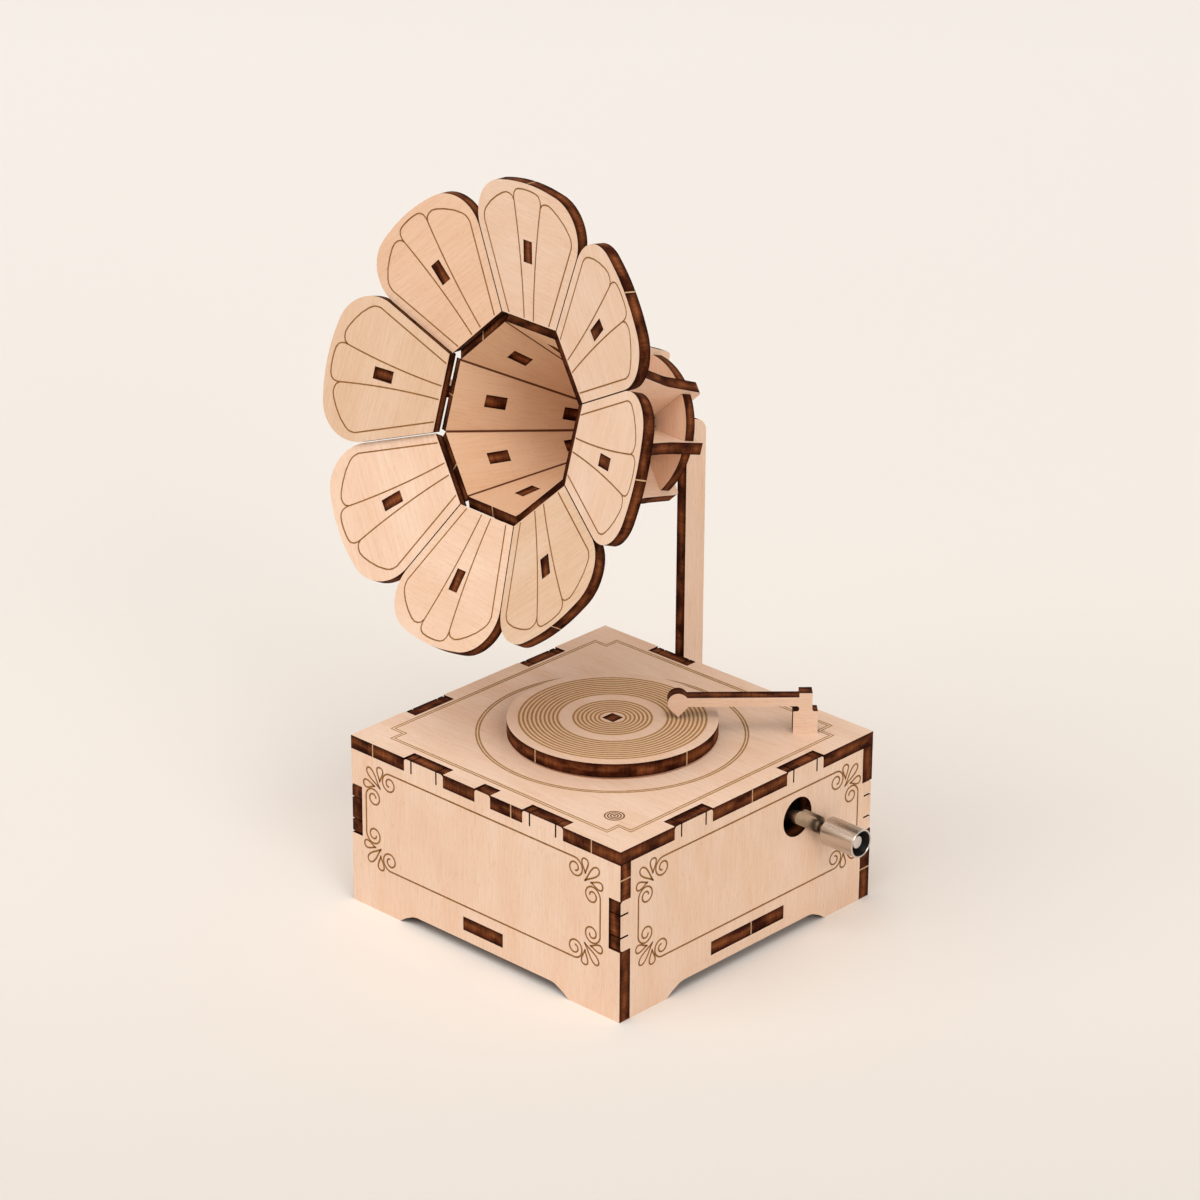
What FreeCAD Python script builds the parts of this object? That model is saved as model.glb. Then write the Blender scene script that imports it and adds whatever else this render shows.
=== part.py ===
import FreeCAD, Part
import math
import os

# Hand cranked music box in the form of a small gramophone.
# Millimetres. +X right, +Y back, +Z up; the origin is the middle of the base, on the table.

Vector = FreeCAD.Vector

# ---- box -----------------------------------------------------------------
BOX_WIDTH = 76.0          # along X, outside
BOX_DEPTH = 76.0          # along Y, outside
BOX_HEIGHT = 38.0         # table to the top of the deck
BOX_SHEET = 3.0           # plywood of the box, record and tonearm
FIT = 0.05                # clearance on each side of a finger or tab
TAB_RECESS = 0.15         # how far a tab end stays under the face it shows in

FINGER_WIDTH = 11.2       # fingers along the edges of the deck
FINGER_OFFSET = 16.8      # middle of the box to the middle of such a finger
SMALL_FINGER_WIDTH = 4.4  # middle finger of the front panel
SIDE_FINGER_LOW = 15.8    # underside of the finger at each upright corner
SIDE_FINGER_HEIGHT = 11.2
SLIT_WIDTH = 0.4          # relief slits in the fingers
SLIT_LENGTH = 2.85
SIDE_SLIT_LENGTH = 2.2
SLIT_INSET = 2.0          # side of a deck finger to its slit
SIDE_SLIT_INSET = 3.1     # side of a corner finger to its slit
FINGER_ROUND = 0.7

FOOT_LENGTH = 14.0        # box corner to the start of the foot's curve
FOOT_CURVE = 4.8          # length of the curve from foot to arch
ARCH_RISE = 2.4

BOTTOM_LEVEL = 4.8        # underside of the bottom board
BOTTOM_TAB_FRONT = 11.2   # width of the tabs in the front and back panels
BOTTOM_TAB_SIDE = 22.0    # width of the tabs in the left and right panels

# ---- record and tonearm --------------------------------------------------
RECORD_RADIUS = 21.8
RECORD_GAP = 0.5          # deck to the underside of the record
SPINDLE_SIDE = 3.0        # square peg through the record
SPINDLE_BORE_PLAY = 0.25  # corner of the peg to the round hole in the deck
WASHER_RADIUS = 5.0
RUNNING_GAP = 0.15        # washer to the turning record

ARM_HEAD_REACH = 13.4     # deck centre to the stylus, along the diagonal
ARM_POST_REACH = 39.6     # deck centre to the middle of the tonearm's post
ARM_SETBACK = 0.5         # deck's diagonal to the middle of the tonearm's sheet
ARM_POST_WIDTH = 5.1
ARM_POST_SHOULDER = 5.1   # deck to the shoulders of the post
ARM_POST_ROUND = 0.2
ARM_NECK_WIDTH = 2.7
ARM_NECK_TOP = 9.2        # deck to the top of the post
ARM_BAR_LOW = 6.25        # deck to the underside of the bar
ARM_BAR_HEIGHT = 2.0
ARM_HEAD_RADIUS = 2.15
ARM_HEAD_RISE = 3.2       # stylus to the middle of the head
STYLUS_GAP = 0.4          # record to the stylus
STYLUS_TIP = 0.7          # width at the start of its point
STYLUS_POINT = 0.4        # height of the point
STYLUS_START_ANGLE = 28.0 # where its sides leave the head, below the head's middle, degrees
ARM_TAB_WIDTH = 3.4       # tab of the post in the deck

# ---- horn ----------------------------------------------------------------
HORN_SHEET = 2.5          # plywood of the horn and its post
HORN_SIDES = 8
HORN_TILT = 17.3          # axis above the horizontal, degrees
HORN_TURN = -5.8          # swing of the horn on its tongue, as it is glued, degrees
HORN_ROLL = -1.6          # roll about its axis, as it is glued, degrees
DISC_SETBACK = 14.2       # back of the box to the middle of the rear disc
DISC_RISE = 56.3          # top of the deck to the middle of the rear disc
DISC_RADIUS = 15.8
THROAT_LENGTH = 33.9      # rear disc to the plane of the mouth
MOUTH_INNER = 18.3        # axis to the inner face of a cone panel, at the mouth
CONE_ANGLE = 22.5         # slope of a cone panel to the axis, degrees
CONE_END_GAP = 0.3        # rear disc to the nearest corner of a cone panel
CONE_TAB_LENGTH = 4.6
CONE_TAB_PLACES = (9.4, 26.8)  # mouth to the middle of each tab, along the panel

PETAL_SETBACK = 0.76      # petal's inner edge outside the panel's, in thicknesses of the sheet
PETAL_START = MOUTH_INNER + PETAL_SETBACK * HORN_SHEET  # axis to the edge of its front face
PETAL_LEAD = 0.9          # plane of the mouth to that edge
PETAL_ANGLE = 17.0        # forward slope of a petal, degrees
PETAL_LENGTH = 29.25
PETAL_SHOULDER = 25.65    # inner edge to the outer corners, before rounding
PETAL_ROUND = 8.4         # radius of those corners
PETAL_CROWN_ROUND = 38.0
PETAL_GAP = 0.15          # each side of a petal to the line between neighbours
PETAL_TAB_PLACE = 14.45   # inner edge to the middle of the rib's tab
PETAL_TAB_LENGTH = 4.6
PROUD_PETAL = 7           # petal that isn't pushed home on its rib
PROUD_PETAL_LIFT = 1.0    # how far it stands off the rib

RIB_NECK_PLACES = (3.0, 3.4)  # mouth to the start of the rib on its panel, and on its petal
RIB_TOP_REACH = 37.0      # axis to the rib's outer corner behind the petal
RIB_TOP_ROUND = 1.2
RIB_WAIST = [(16.5, 21.0, 12.0), (6.0, 17.8, 14.0)]  # hollow outer edge: along, out, radius
RIB_END_REACH = 16.5
RIB_LUG_REACH = 11.0      # axis to the inner side of the rib's rear lug
RIB_LUG_LENGTH = 2.6      # how far the lug stands behind the disc
RIB_LUG_ROUND = 1.1

POST_FINGER_OFFSET = 0.6  # middle of the back panel's left finger to the middle of the post
POST_DEPTH = 6.0
POST_FOOT = 8.0           # table to the lower end of the post
POST_TAB_LEVELS = (14.0, 26.0)
POST_TAB_HEIGHT = 5.0
POST_ARM_HEIGHT = 8.0     # arm from the post to the rear disc
POST_ARM_TOP = 2.5        # horn axis to the top of the arm
TONGUE_HEIGHT = 5.0       # tongue of the arm in the rear disc
POST_ROUND = 3.6

# ---- crank ---------------------------------------------------------------
CRANK_Y = 13.6
CRANK_DROP = 7.6          # underside of the deck to the crank axis
CRANK_HOLE_SHIFT = (1.1, -0.7)  # hole from the crank axis, along Y and Z
CRANK_HOLE_RADIUS = 4.35
SHAFT_RADIUS = 1.5
SHAFT_NECK_RADIUS = 1.0   # turned down end of the shaft, riveted into the arm
SHAFT_NECK_LENGTH = 3.0   # arm to the full shaft
CRANK_ARM_GAP = 0.4       # right panel to the crank arm
CRANK_ARM_THICK = 1.1
CRANK_ARM_WIDTH = 2.8
CRANK_ARM_REACH = 9.9     # crank axis to knob axis
CRANK_ARM_ANGLE = -34.0   # rest position, from +Y toward +Z, degrees
CRANK_ARM_RIM = 0.4
CRANK_ARM_DISH = 0.4
CRANK_ARM_RIVET = 0.45    # how deep the shaft's neck sits in the arm
CRANK_FLANGE_THICK = 0.5  # back of the arm, which stands out above its channel
CRANK_FLANGE_WIDTH = 2.4
CRANK_FLANGE_LIFT = 0.9   # arm's middle line to the flange's
CRANK_FLANGE_START = 2.0  # crank axis to the centre of the flange's round end
CRANK_FLANGE_END = 8.3
KNOB_RADIUS = 3.1
KNOB_LENGTH = 8.5
KNOB_WALL = 0.45
KNOB_FLOOR = 1.0
KNOB_GAP = 1.2            # crank arm to the knob
KNOB_END_PLAY = 0.2       # pin's shoulder to the knob
KNOB_MOUTH_CHAMFER = 0.15
PIN_RADIUS = 1.0
PIN_HEAD_RADIUS = 1.3
PIN_HEAD_LENGTH = 0.9
PIN_HEAD_DEPTH = 1.05     # open end of the knob to the pin's head
PIN_SHOULDER_RADIUS = 1.7
PIN_SHOULDER_LENGTH = 0.6
BEARING_PLAY = 0.1        # radial play of a shaft in its bore

# ---- movement ------------------------------------------------------------
BEDPLATE_THICK = 2.0
BEDPLATE_LEFT = -27.0
BEDPLATE_RIGHT = 22.0
BEDPLATE_FRONT = -22.0
BEDPLATE_BACK = 24.0
BEDPLATE_ROUND = 3.0
CASTING_OVERLAP = 0.5     # how deep the casting's lugs are drawn into its plate
CYLINDER_X = 8.0
CYLINDER_RADIUS = 6.5
CYLINDER_WALL = 0.7
CYLINDER_FRONT = -15.5
CYLINDER_LENGTH = 25.0
CYLINDER_PLUG = 2.0       # thickness of its end plugs
ARBOR_RADIUS = 1.0
ARBOR_OVERHANG = 0.8      # outside of a bracket to the arbor's end
BRACKET_THICK = 1.5
BRACKET_WIDTH = 8.0
BRACKET_FOOT = 6.0
BRACKET_BELOW = 3.4       # arbor's axis to the lower end of a bracket
TUNE_NOTES = 18
TUNE_STEPS = 16           # places round the cylinder where a pin can stand
PIN_HEIGHT = 0.4
PIN_SIDE = 0.4
PIN_ROOT = 0.3            # how deep a pin is set in the cylinder's wall

WORM_PITCH = 2.4
WORM_TURNS = 2
WORM_SLEEVE_WALL = 0.4
WORM_THREAD_HEIGHT = 1.2
WORM_ROOT_WIDTH = 1.1
WORM_TIP_WIDTH = 0.5
GEAR_TEETH = 16
GEAR_ROOT_DEPTH = 0.85    # pitch circle to the root
GEAR_TIP_HEIGHT = 0.6     # pitch circle to the tip
GEAR_ROOT_TOOTH = 1.25
GEAR_TIP_TOOTH = 0.6
GEAR_WIDTH = 3.2
MESH_PLAY = 0.1

SHAFT_LUG_THICK = 2.2
SHAFT_LUG_HALF_WIDTH = 3.0
SHAFT_LUG_BELOW = 2.8     # crank axis to the lower end of a lug

COMB_THICK = 1.2
COMB_TOOTH_THICK = 0.7
COMB_PITCH = 1.3
COMB_SLOT = 0.3
COMB_SHORT_TOOTH = 11.0
COMB_LONG_TOOTH = 17.0
COMB_BASE = 8.0           # comb behind its longest tooth
COMB_SCREW_BITE = 3.5     # comb to the end of its screws
COMB_SCREW_INSET = 3.5    # end of the comb to a screw
COMB_TIP_GAP = 0.3        # top of a pin to the tip of a tooth

SCREW_RADIUS = 1.1
SCREW_HEAD_RADIUS = 2.1
SCREW_HEAD_HEIGHT = 1.2
SCREW_SINK = 0.1          # top of the deck to a countersunk head
MOVEMENT_SCREW_PLACES = ((-12.0, -10.0), (-12.0, 10.0))

# ---- sizes that follow ---------------------------------------------------
HALF_WIDTH = BOX_WIDTH / 2
HALF_DEPTH = BOX_DEPTH / 2
DECK_UNDERSIDE = BOX_HEIGHT - BOX_SHEET
POST_X = -FINGER_OFFSET + POST_FINGER_OFFSET
DISC_MIDDLE = Vector(POST_X, HALF_DEPTH - DISC_SETBACK, BOX_HEIGHT + DISC_RISE)
CRANK_Z = DECK_UNDERSIDE - CRANK_DROP
WORM_SLEEVE_RADIUS = SHAFT_RADIUS + WORM_SLEEVE_WALL
WORM_PITCH_RADIUS = WORM_SLEEVE_RADIUS + WORM_THREAD_HEIGHT / 2
WORM_OUTER_RADIUS = WORM_SLEEVE_RADIUS + WORM_THREAD_HEIGHT
GEAR_PITCH_RADIUS = GEAR_TEETH * WORM_PITCH / (2 * math.pi)
CYLINDER_Z = CRANK_Z - WORM_PITCH_RADIUS - GEAR_PITCH_RADIUS - MESH_PLAY
X_AXIS = Vector(1, 0, 0)
Y_AXIS = Vector(0, 1, 0)
Z_AXIS = Vector(0, 0, 1)


# ---- drawing helpers -----------------------------------------------------
def rounded_wire(corners):
    """Closed wire in the XY plane; a corner is (x, y) or (x, y, radius)."""
    count = len(corners)
    points = [Vector(corner[0], corner[1], 0) for corner in corners]
    arcs = []
    for i, corner in enumerate(corners):
        here = points[i]
        radius = corner[2] if len(corner) > 2 else 0
        if not radius:
            arcs.append((here, here, here))
            continue
        to_last = (points[i - 1] - here).normalize()
        to_next = (points[(i + 1) % count] - here).normalize()
        half_angle = to_last.getAngle(to_next) / 2
        setback = radius / math.tan(half_angle)
        middle_reach = radius / math.sin(half_angle) - radius
        middle = here + (to_last + to_next).normalize() * middle_reach
        arcs.append((here + to_last * setback, middle, here + to_next * setback))
    edges = []
    for i, (start, middle, finish) in enumerate(arcs):
        if start.distanceToPoint(finish) > 1e-6:
            edges.append(Part.Arc(start, middle, finish).toShape())
        following = arcs[(i + 1) % count][0]
        if finish.distanceToPoint(following) > 1e-6:
            edges.append(Part.LineSegment(finish, following).toShape())
    return Part.Wire(edges)


def plate(corners, thickness, low=0.0):
    """Sheet with the given outline, lying in the XY plane from low up."""
    solid = Part.Face(rounded_wire(corners)).extrude(Vector(0, 0, thickness))
    solid.translate(Vector(0, 0, low))
    return solid


def rectangle(x_low, x_high, y_low, y_high, radius=0):
    places = ((x_low, y_low), (x_high, y_low), (x_high, y_high), (x_low, y_high))
    return [(x, y, radius) for x, y in places]


def block(x_low, x_high, y_low, y_high, z_low, z_high):
    corner = Vector(x_low, y_low, z_low)
    return Part.makeBox(x_high - x_low, y_high - y_low, z_high - z_low, corner)


def stand(solid, origin, x_axis, y_axis):
    """Move a solid from the drawing plane to where its sheet stands."""
    normal = x_axis.cross(y_axis)
    columns = (x_axis, y_axis, normal, origin)
    rows = [[getattr(column, name) for column in columns] for name in ("x", "y", "z")]
    matrix = FreeCAD.Matrix(*rows[0], *rows[1], *rows[2], 0, 0, 0, 1)
    placed = solid.copy()
    placed.Placement = FreeCAD.Placement(matrix).multiply(solid.Placement)
    return placed


def rod(radius, start, direction, length):
    return Part.makeCylinder(radius, length, start, direction)


def save(name, *solids):
    shape = solids[0] if len(solids) == 1 else Part.makeCompound(list(solids))
    for solid in shape.Solids:
        if not solid.isValid() or solid.Volume <= 0:
            raise ValueError("bad solid in " + name)
    shape.exportStep("parts/" + name + ".step")
    print(name, len(shape.Solids), round(shape.Volume, 2))


# ---- box panels ----------------------------------------------------------
def finger_corners(middle, width, base, tip):
    """Four corners of a finger along an edge that runs left to right."""
    left, right = middle - width / 2, middle + width / 2
    return [(left, base), (left, tip, FINGER_ROUND), (right, tip, FINGER_ROUND), (right, base)]


def arch_corners(half_span):
    """Lower edge from the right foot to the left one, seen with +Z up."""
    foot = half_span - FOOT_LENGTH
    arch = foot - FOOT_CURVE
    right = [(half_span, 0), (foot, 0, 1.6), (foot - FOOT_CURVE * 0.3, ARCH_RISE * 0.45, 1.0)]
    right += [(arch + FOOT_CURVE * 0.25, ARCH_RISE * 0.9, 1.4), (arch, ARCH_RISE)]
    left = [(-corner[0],) + corner[1:] for corner in reversed(right)]
    return right + left


def finger_slits(middle, width, tip):
    inset = width / 2 - SLIT_INSET
    return [
        block(x - SLIT_WIDTH / 2, x + SLIT_WIDTH / 2, tip - SLIT_LENGTH, tip + 1, -1, BOX_SHEET + 1)
        for x in (middle - inset, middle + inset)
    ]


def side_slits(end, direction):
    """Slits in a corner finger whose end is at x = end; direction is +1 or -1."""
    low = SIDE_FINGER_LOW + SIDE_SLIT_INSET
    high = SIDE_FINGER_LOW + SIDE_FINGER_HEIGHT - SIDE_SLIT_INSET
    inner = end - direction * SIDE_SLIT_LENGTH
    x_low, x_high = min(inner, end + direction), max(inner, end + direction)
    return [
        block(x_low, x_high, z - SLIT_WIDTH / 2, z + SLIT_WIDTH / 2, -1, BOX_SHEET + 1)
        for z in (low, high)
    ]


def bottom_slot(width):
    low = BOTTOM_LEVEL - FIT
    high = BOTTOM_LEVEL + BOX_SHEET + FIT
    return block(-width / 2 - FIT, width / 2 + FIT, low, high, -1, BOX_SHEET + 1)


def full_panel(with_small_finger):
    """Front or back panel: it runs the whole width and takes the side fingers."""
    notch_low = SIDE_FINGER_LOW - FIT
    notch_high = SIDE_FINGER_LOW + SIDE_FINGER_HEIGHT + FIT
    notch_depth = HALF_WIDTH - BOX_SHEET - FIT
    top = DECK_UNDERSIDE
    tip = BOX_HEIGHT - TAB_RECESS
    fingers = [(-FINGER_OFFSET, FINGER_WIDTH), (FINGER_OFFSET, FINGER_WIDTH)]
    if with_small_finger:
        fingers.insert(1, (0.0, SMALL_FINGER_WIDTH))
    corners = arch_corners(HALF_WIDTH)
    corners += [(-HALF_WIDTH, notch_low), (-notch_depth, notch_low), (-notch_depth, notch_high)]
    corners += [(-HALF_WIDTH, notch_high), (-HALF_WIDTH, top)]
    for middle, width in fingers:
        corners += finger_corners(middle, width, top, tip)
    corners += [(HALF_WIDTH, top), (HALF_WIDTH, notch_high), (notch_depth, notch_high)]
    corners += [(notch_depth, notch_low), (HALF_WIDTH, notch_low)]
    cuts = [bottom_slot(BOTTOM_TAB_FRONT)]
    for middle in (-FINGER_OFFSET, FINGER_OFFSET):
        cuts += finger_slits(middle, FINGER_WIDTH, tip)
    return plate(corners, BOX_SHEET).cut(cuts)


def side_panel():
    """Left or right panel: it stands between the front and back panels."""
    wall = HALF_DEPTH - BOX_SHEET
    end = HALF_DEPTH - TAB_RECESS
    low, high = SIDE_FINGER_LOW, SIDE_FINGER_LOW + SIDE_FINGER_HEIGHT
    top = DECK_UNDERSIDE
    tip = BOX_HEIGHT - TAB_RECESS
    arch = arch_corners(HALF_DEPTH)
    corners = [(wall, 0)] + arch[1:-1] + [(-wall, 0)]
    corners += [(-wall, low), (-end, low, FINGER_ROUND), (-end, high, FINGER_ROUND)]
    corners += [(-wall, high), (-wall, top)]
    for middle in (-FINGER_OFFSET, FINGER_OFFSET):
        corners += finger_corners(middle, FINGER_WIDTH, top, tip)
    corners += [(wall, top), (wall, high), (end, high, FINGER_ROUND)]
    corners += [(end, low, FINGER_ROUND), (wall, low)]
    cuts = [bottom_slot(BOTTOM_TAB_SIDE)] + side_slits(end, 1) + side_slits(-end, -1)
    for middle in (-FINGER_OFFSET, FINGER_OFFSET):
        cuts += finger_slits(middle, FINGER_WIDTH, tip)
    return plate(corners, BOX_SHEET).cut(cuts)


def build_box_panels():
    front = stand(full_panel(True), Vector(0, -HALF_DEPTH + BOX_SHEET, 0), X_AXIS, Z_AXIS)
    save("front_panel", front)
    back = stand(full_panel(False), Vector(0, HALF_DEPTH, 0), X_AXIS, Z_AXIS)
    post_slots = [
        block(POST_X - HORN_SHEET / 2 - FIT, POST_X + HORN_SHEET / 2 + FIT, HALF_DEPTH - BOX_SHEET - 1,
              HALF_DEPTH + 1, level - FIT, level + POST_TAB_HEIGHT + FIT)
        for level in POST_TAB_LEVELS
    ]
    save("back_panel", back.cut(post_slots))
    left = stand(side_panel(), Vector(-HALF_WIDTH, 0, 0), Y_AXIS, Z_AXIS)
    save("left_panel", left)
    right = stand(side_panel(), Vector(HALF_WIDTH - BOX_SHEET, 0, 0), Y_AXIS, Z_AXIS)
    shift_y, shift_z = CRANK_HOLE_SHIFT
    hole_start = Vector(HALF_WIDTH - BOX_SHEET - 1, CRANK_Y + shift_y, CRANK_Z + shift_z)
    save("right_panel", right.cut(rod(CRANK_HOLE_RADIUS, hole_start, X_AXIS, BOX_SHEET + 2)))


def build_bottom_board():
    x_wall, y_wall = HALF_WIDTH - BOX_SHEET - FIT, HALF_DEPTH - BOX_SHEET - FIT
    x_end, y_end = HALF_WIDTH - TAB_RECESS, HALF_DEPTH - TAB_RECESS
    x_tab, y_tab = BOTTOM_TAB_FRONT / 2, BOTTOM_TAB_SIDE / 2
    quarter = [(x_wall, y_tab), (x_wall, y_wall), (x_tab, y_wall), (x_tab, y_end)]
    right_back = [(x_end, y_tab)] + quarter
    left_back = [(-x, y) for x, y in reversed(right_back)]
    left_front = [(-x, -y) for x, y in right_back]
    right_front = [(x, -y) for x, y in reversed(right_back)]
    corners = right_back + left_back + left_front + right_front
    save("bottom_board", plate(corners, BOX_SHEET, BOTTOM_LEVEL))


def spindle_bore_radius():
    return SPINDLE_SIDE / math.sqrt(2) + SPINDLE_BORE_PLAY


def build_deck():
    outline = rectangle(-HALF_WIDTH, HALF_WIDTH, -HALF_DEPTH, HALF_DEPTH)
    deck = plate(outline, BOX_SHEET, DECK_UNDERSIDE)
    depth = BOX_SHEET + FIT
    cuts = []
    for middle in (-FINGER_OFFSET, FINGER_OFFSET):
        low, high = middle - FINGER_WIDTH / 2 - FIT, middle + FINGER_WIDTH / 2 + FIT
        for side in (-1, 1):
            x_edge, y_edge = side * HALF_WIDTH, side * HALF_DEPTH
            x_pair = sorted((x_edge - side * depth, x_edge + side))
            y_pair = sorted((y_edge - side * depth, y_edge + side))
            cuts.append(block(low, high, y_pair[0], y_pair[1], DECK_UNDERSIDE - 1, BOX_HEIGHT + 1))
            cuts.append(block(x_pair[0], x_pair[1], low, high, DECK_UNDERSIDE - 1, BOX_HEIGHT + 1))
    half = SMALL_FINGER_WIDTH / 2 + FIT
    cuts.append(block(-half, half, -HALF_DEPTH - 1, -HALF_DEPTH + depth,
                      DECK_UNDERSIDE - 1, BOX_HEIGHT + 1))
    cuts.append(rod(spindle_bore_radius(), Vector(0, 0, DECK_UNDERSIDE - 1), Z_AXIS, BOX_SHEET + 2))
    slot = plate(tonearm_tab_corners(FIT), BOX_SHEET + 2 * FIT, -BOX_SHEET / 2 - FIT - ARM_SETBACK)
    cuts.append(stand(slot, Vector(0, 0, BOX_HEIGHT), DIAGONAL, Z_AXIS))
    for x, y in MOVEMENT_SCREW_PLACES:
        head_top = Vector(x, y, BOX_HEIGHT - SCREW_SINK)
        cuts.append(screw(head_top, BOX_SHEET + 1, FIT))
        cuts.append(rod(SCREW_HEAD_RADIUS + FIT, head_top, Z_AXIS, 1))
    save("deck", deck.cut(cuts))


# ---- record and tonearm --------------------------------------------------
DIAGONAL = Vector(1, 1, 0).normalize()


def build_record():
    underside = BOX_HEIGHT + RECORD_GAP
    half = SPINDLE_SIDE / 2
    record = rod(RECORD_RADIUS, Vector(0, 0, underside), Z_AXIS, BOX_SHEET)
    hole = half + FIT
    record = record.cut(block(-hole, hole, -hole, hole, underside - 1, underside + BOX_SHEET + 1))
    save("record", record)
    top = underside + BOX_SHEET - TAB_RECESS
    save("record_spindle", block(-half, half, -half, half, DECK_UNDERSIDE + 0.3, top))
    washer_thick = RECORD_GAP - RUNNING_GAP
    washer = rod(WASHER_RADIUS, Vector(0, 0, BOX_HEIGHT), Z_AXIS, washer_thick)
    bore = rod(spindle_bore_radius(), Vector(0, 0, BOX_HEIGHT - 1), Z_AXIS, washer_thick + 2)
    save("record_washer", washer.cut(bore))


def tonearm_tab_corners(clearance):
    half = ARM_TAB_WIDTH / 2 + clearance
    return [
        (ARM_POST_REACH - half, clearance), (ARM_POST_REACH - half, -BOX_SHEET - 1),
        (ARM_POST_REACH + half, -BOX_SHEET - 1), (ARM_POST_REACH + half, clearance),
    ]


def build_tonearm():
    """One flat piece that stands on the deck's diagonal, drawn with the deck top as zero."""
    stylus = RECORD_GAP + BOX_SHEET + STYLUS_GAP
    head = stylus + ARM_HEAD_RISE
    bar_top = ARM_BAR_LOW + ARM_BAR_HEIGHT
    post_left = ARM_POST_REACH - ARM_POST_WIDTH / 2
    post_right = ARM_POST_REACH + ARM_POST_WIDTH / 2
    neck_left = ARM_POST_REACH - ARM_NECK_WIDTH / 2
    neck_right = ARM_POST_REACH + ARM_NECK_WIDTH / 2
    tab_left = ARM_POST_REACH - ARM_TAB_WIDTH / 2
    tab_right = ARM_POST_REACH + ARM_TAB_WIDTH / 2
    tab_end = TAB_RECESS - BOX_SHEET
    notch_round = (ARM_BAR_LOW - ARM_POST_SHOULDER) * 0.45
    low = -BOX_SHEET / 2 - ARM_SETBACK
    arm = plate([
        (ARM_HEAD_REACH, head), (ARM_HEAD_REACH, bar_top), (neck_left, bar_top),
        (neck_left, ARM_NECK_TOP), (neck_right, ARM_NECK_TOP),
        (neck_right, ARM_POST_SHOULDER, notch_round), (post_right, ARM_POST_SHOULDER, ARM_POST_ROUND),
        (post_right, 0), (tab_right, 0), (tab_right, tab_end), (tab_left, tab_end), (tab_left, 0),
        (post_left, 0), (post_left, ARM_POST_SHOULDER, ARM_POST_ROUND),
        (neck_left, ARM_POST_SHOULDER, notch_round),
        (neck_left, ARM_BAR_LOW, notch_round), (ARM_HEAD_REACH + ARM_HEAD_RADIUS, ARM_BAR_LOW),
    ], BOX_SHEET, low)
    disc = rod(ARM_HEAD_RADIUS, Vector(ARM_HEAD_REACH, head, low), Z_AXIS, BOX_SHEET)
    nib_start = math.radians(STYLUS_START_ANGLE)
    side, side_drop = ARM_HEAD_RADIUS * math.cos(nib_start), ARM_HEAD_RADIUS * math.sin(nib_start)
    left, right = ARM_HEAD_REACH - STYLUS_TIP / 2, ARM_HEAD_REACH + STYLUS_TIP / 2
    nib = plate([
        (ARM_HEAD_REACH - side, head - side_drop), (left, stylus + STYLUS_POINT),
        (ARM_HEAD_REACH, stylus), (right, stylus + STYLUS_POINT),
        (ARM_HEAD_REACH + side, head - side_drop),
    ], BOX_SHEET, low)
    arm = arm.fuse([disc, nib]).removeSplitter()
    save("tonearm", stand(arm, Vector(0, 0, BOX_HEIGHT), DIAGONAL, Z_AXIS))


# ---- horn ----------------------------------------------------------------
def horn_directions():
    """Forward, right and up along the horn's own axis."""
    tilt, turn = math.radians(HORN_TILT), math.radians(HORN_TURN)
    forward = Vector(math.sin(turn) * math.cos(tilt), -math.cos(turn) * math.cos(tilt), math.sin(tilt))
    level = Vector(math.cos(turn), math.sin(turn), 0)
    upright = forward.cross(level)
    roll = math.radians(HORN_ROLL)
    right = level * math.cos(roll) - upright * math.sin(roll)
    up = level * math.sin(roll) + upright * math.cos(roll)
    return forward, right, up


FORWARD, RIGHT, UP = horn_directions()
DISC_CENTRE = DISC_MIDDLE + FORWARD * (HORN_SHEET / 2)     # middle of the rear disc's front face
CONE = math.radians(CONE_ANGLE)
PETAL = math.radians(PETAL_ANGLE)
SIDE_SLOPE = math.tan(math.pi / HORN_SIDES)   # half width of a side over its distance from the axis


def horn_point(along, out, outward):
    return DISC_CENTRE + FORWARD * along + outward * out


def side_outward(number):
    angle = 2 * math.pi * number / HORN_SIDES
    return UP * math.cos(angle) + RIGHT * math.sin(angle)


def petal_point(distance, depth):
    """Place along and out of a point on a petal, depth being behind its front face."""
    along = THROAT_LENGTH + PETAL_LEAD + distance * math.sin(PETAL) - depth * math.cos(PETAL)
    out = PETAL_START + distance * math.cos(PETAL) + depth * math.sin(PETAL)
    return along, out


def cone_point(distance, depth):
    """Place along and out of a point on a cone panel, depth being outside its inner face."""
    along = THROAT_LENGTH - distance * math.cos(CONE) - depth * math.sin(CONE)
    out = MOUTH_INNER - distance * math.sin(CONE) + depth * math.cos(CONE)
    return along, out


def petal():
    def half_width(distance):
        return (PETAL_START + distance * math.cos(PETAL)) * SIDE_SLOPE - PETAL_GAP

    start, shoulder = half_width(0), half_width(PETAL_SHOULDER)
    outline = plate([
        (-start, 0), (start, 0), (shoulder, PETAL_SHOULDER, PETAL_ROUND),
        (0, PETAL_LENGTH, PETAL_CROWN_ROUND), (-shoulder, PETAL_SHOULDER, PETAL_ROUND),
    ], HORN_SHEET)
    half_tab, half_length = HORN_SHEET / 2 + FIT, PETAL_TAB_LENGTH / 2 + FIT
    window = block(-half_tab, half_tab, PETAL_TAB_PLACE - half_length, PETAL_TAB_PLACE + half_length,
                   -1, HORN_SHEET + 1)
    return outline.cut(window)


def cone_length():
    """Mouth to the rear end, where the outer corner stays clear of the disc."""
    return (THROAT_LENGTH - CONE_END_GAP - HORN_SHEET * math.sin(CONE)) / math.cos(CONE)


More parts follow.
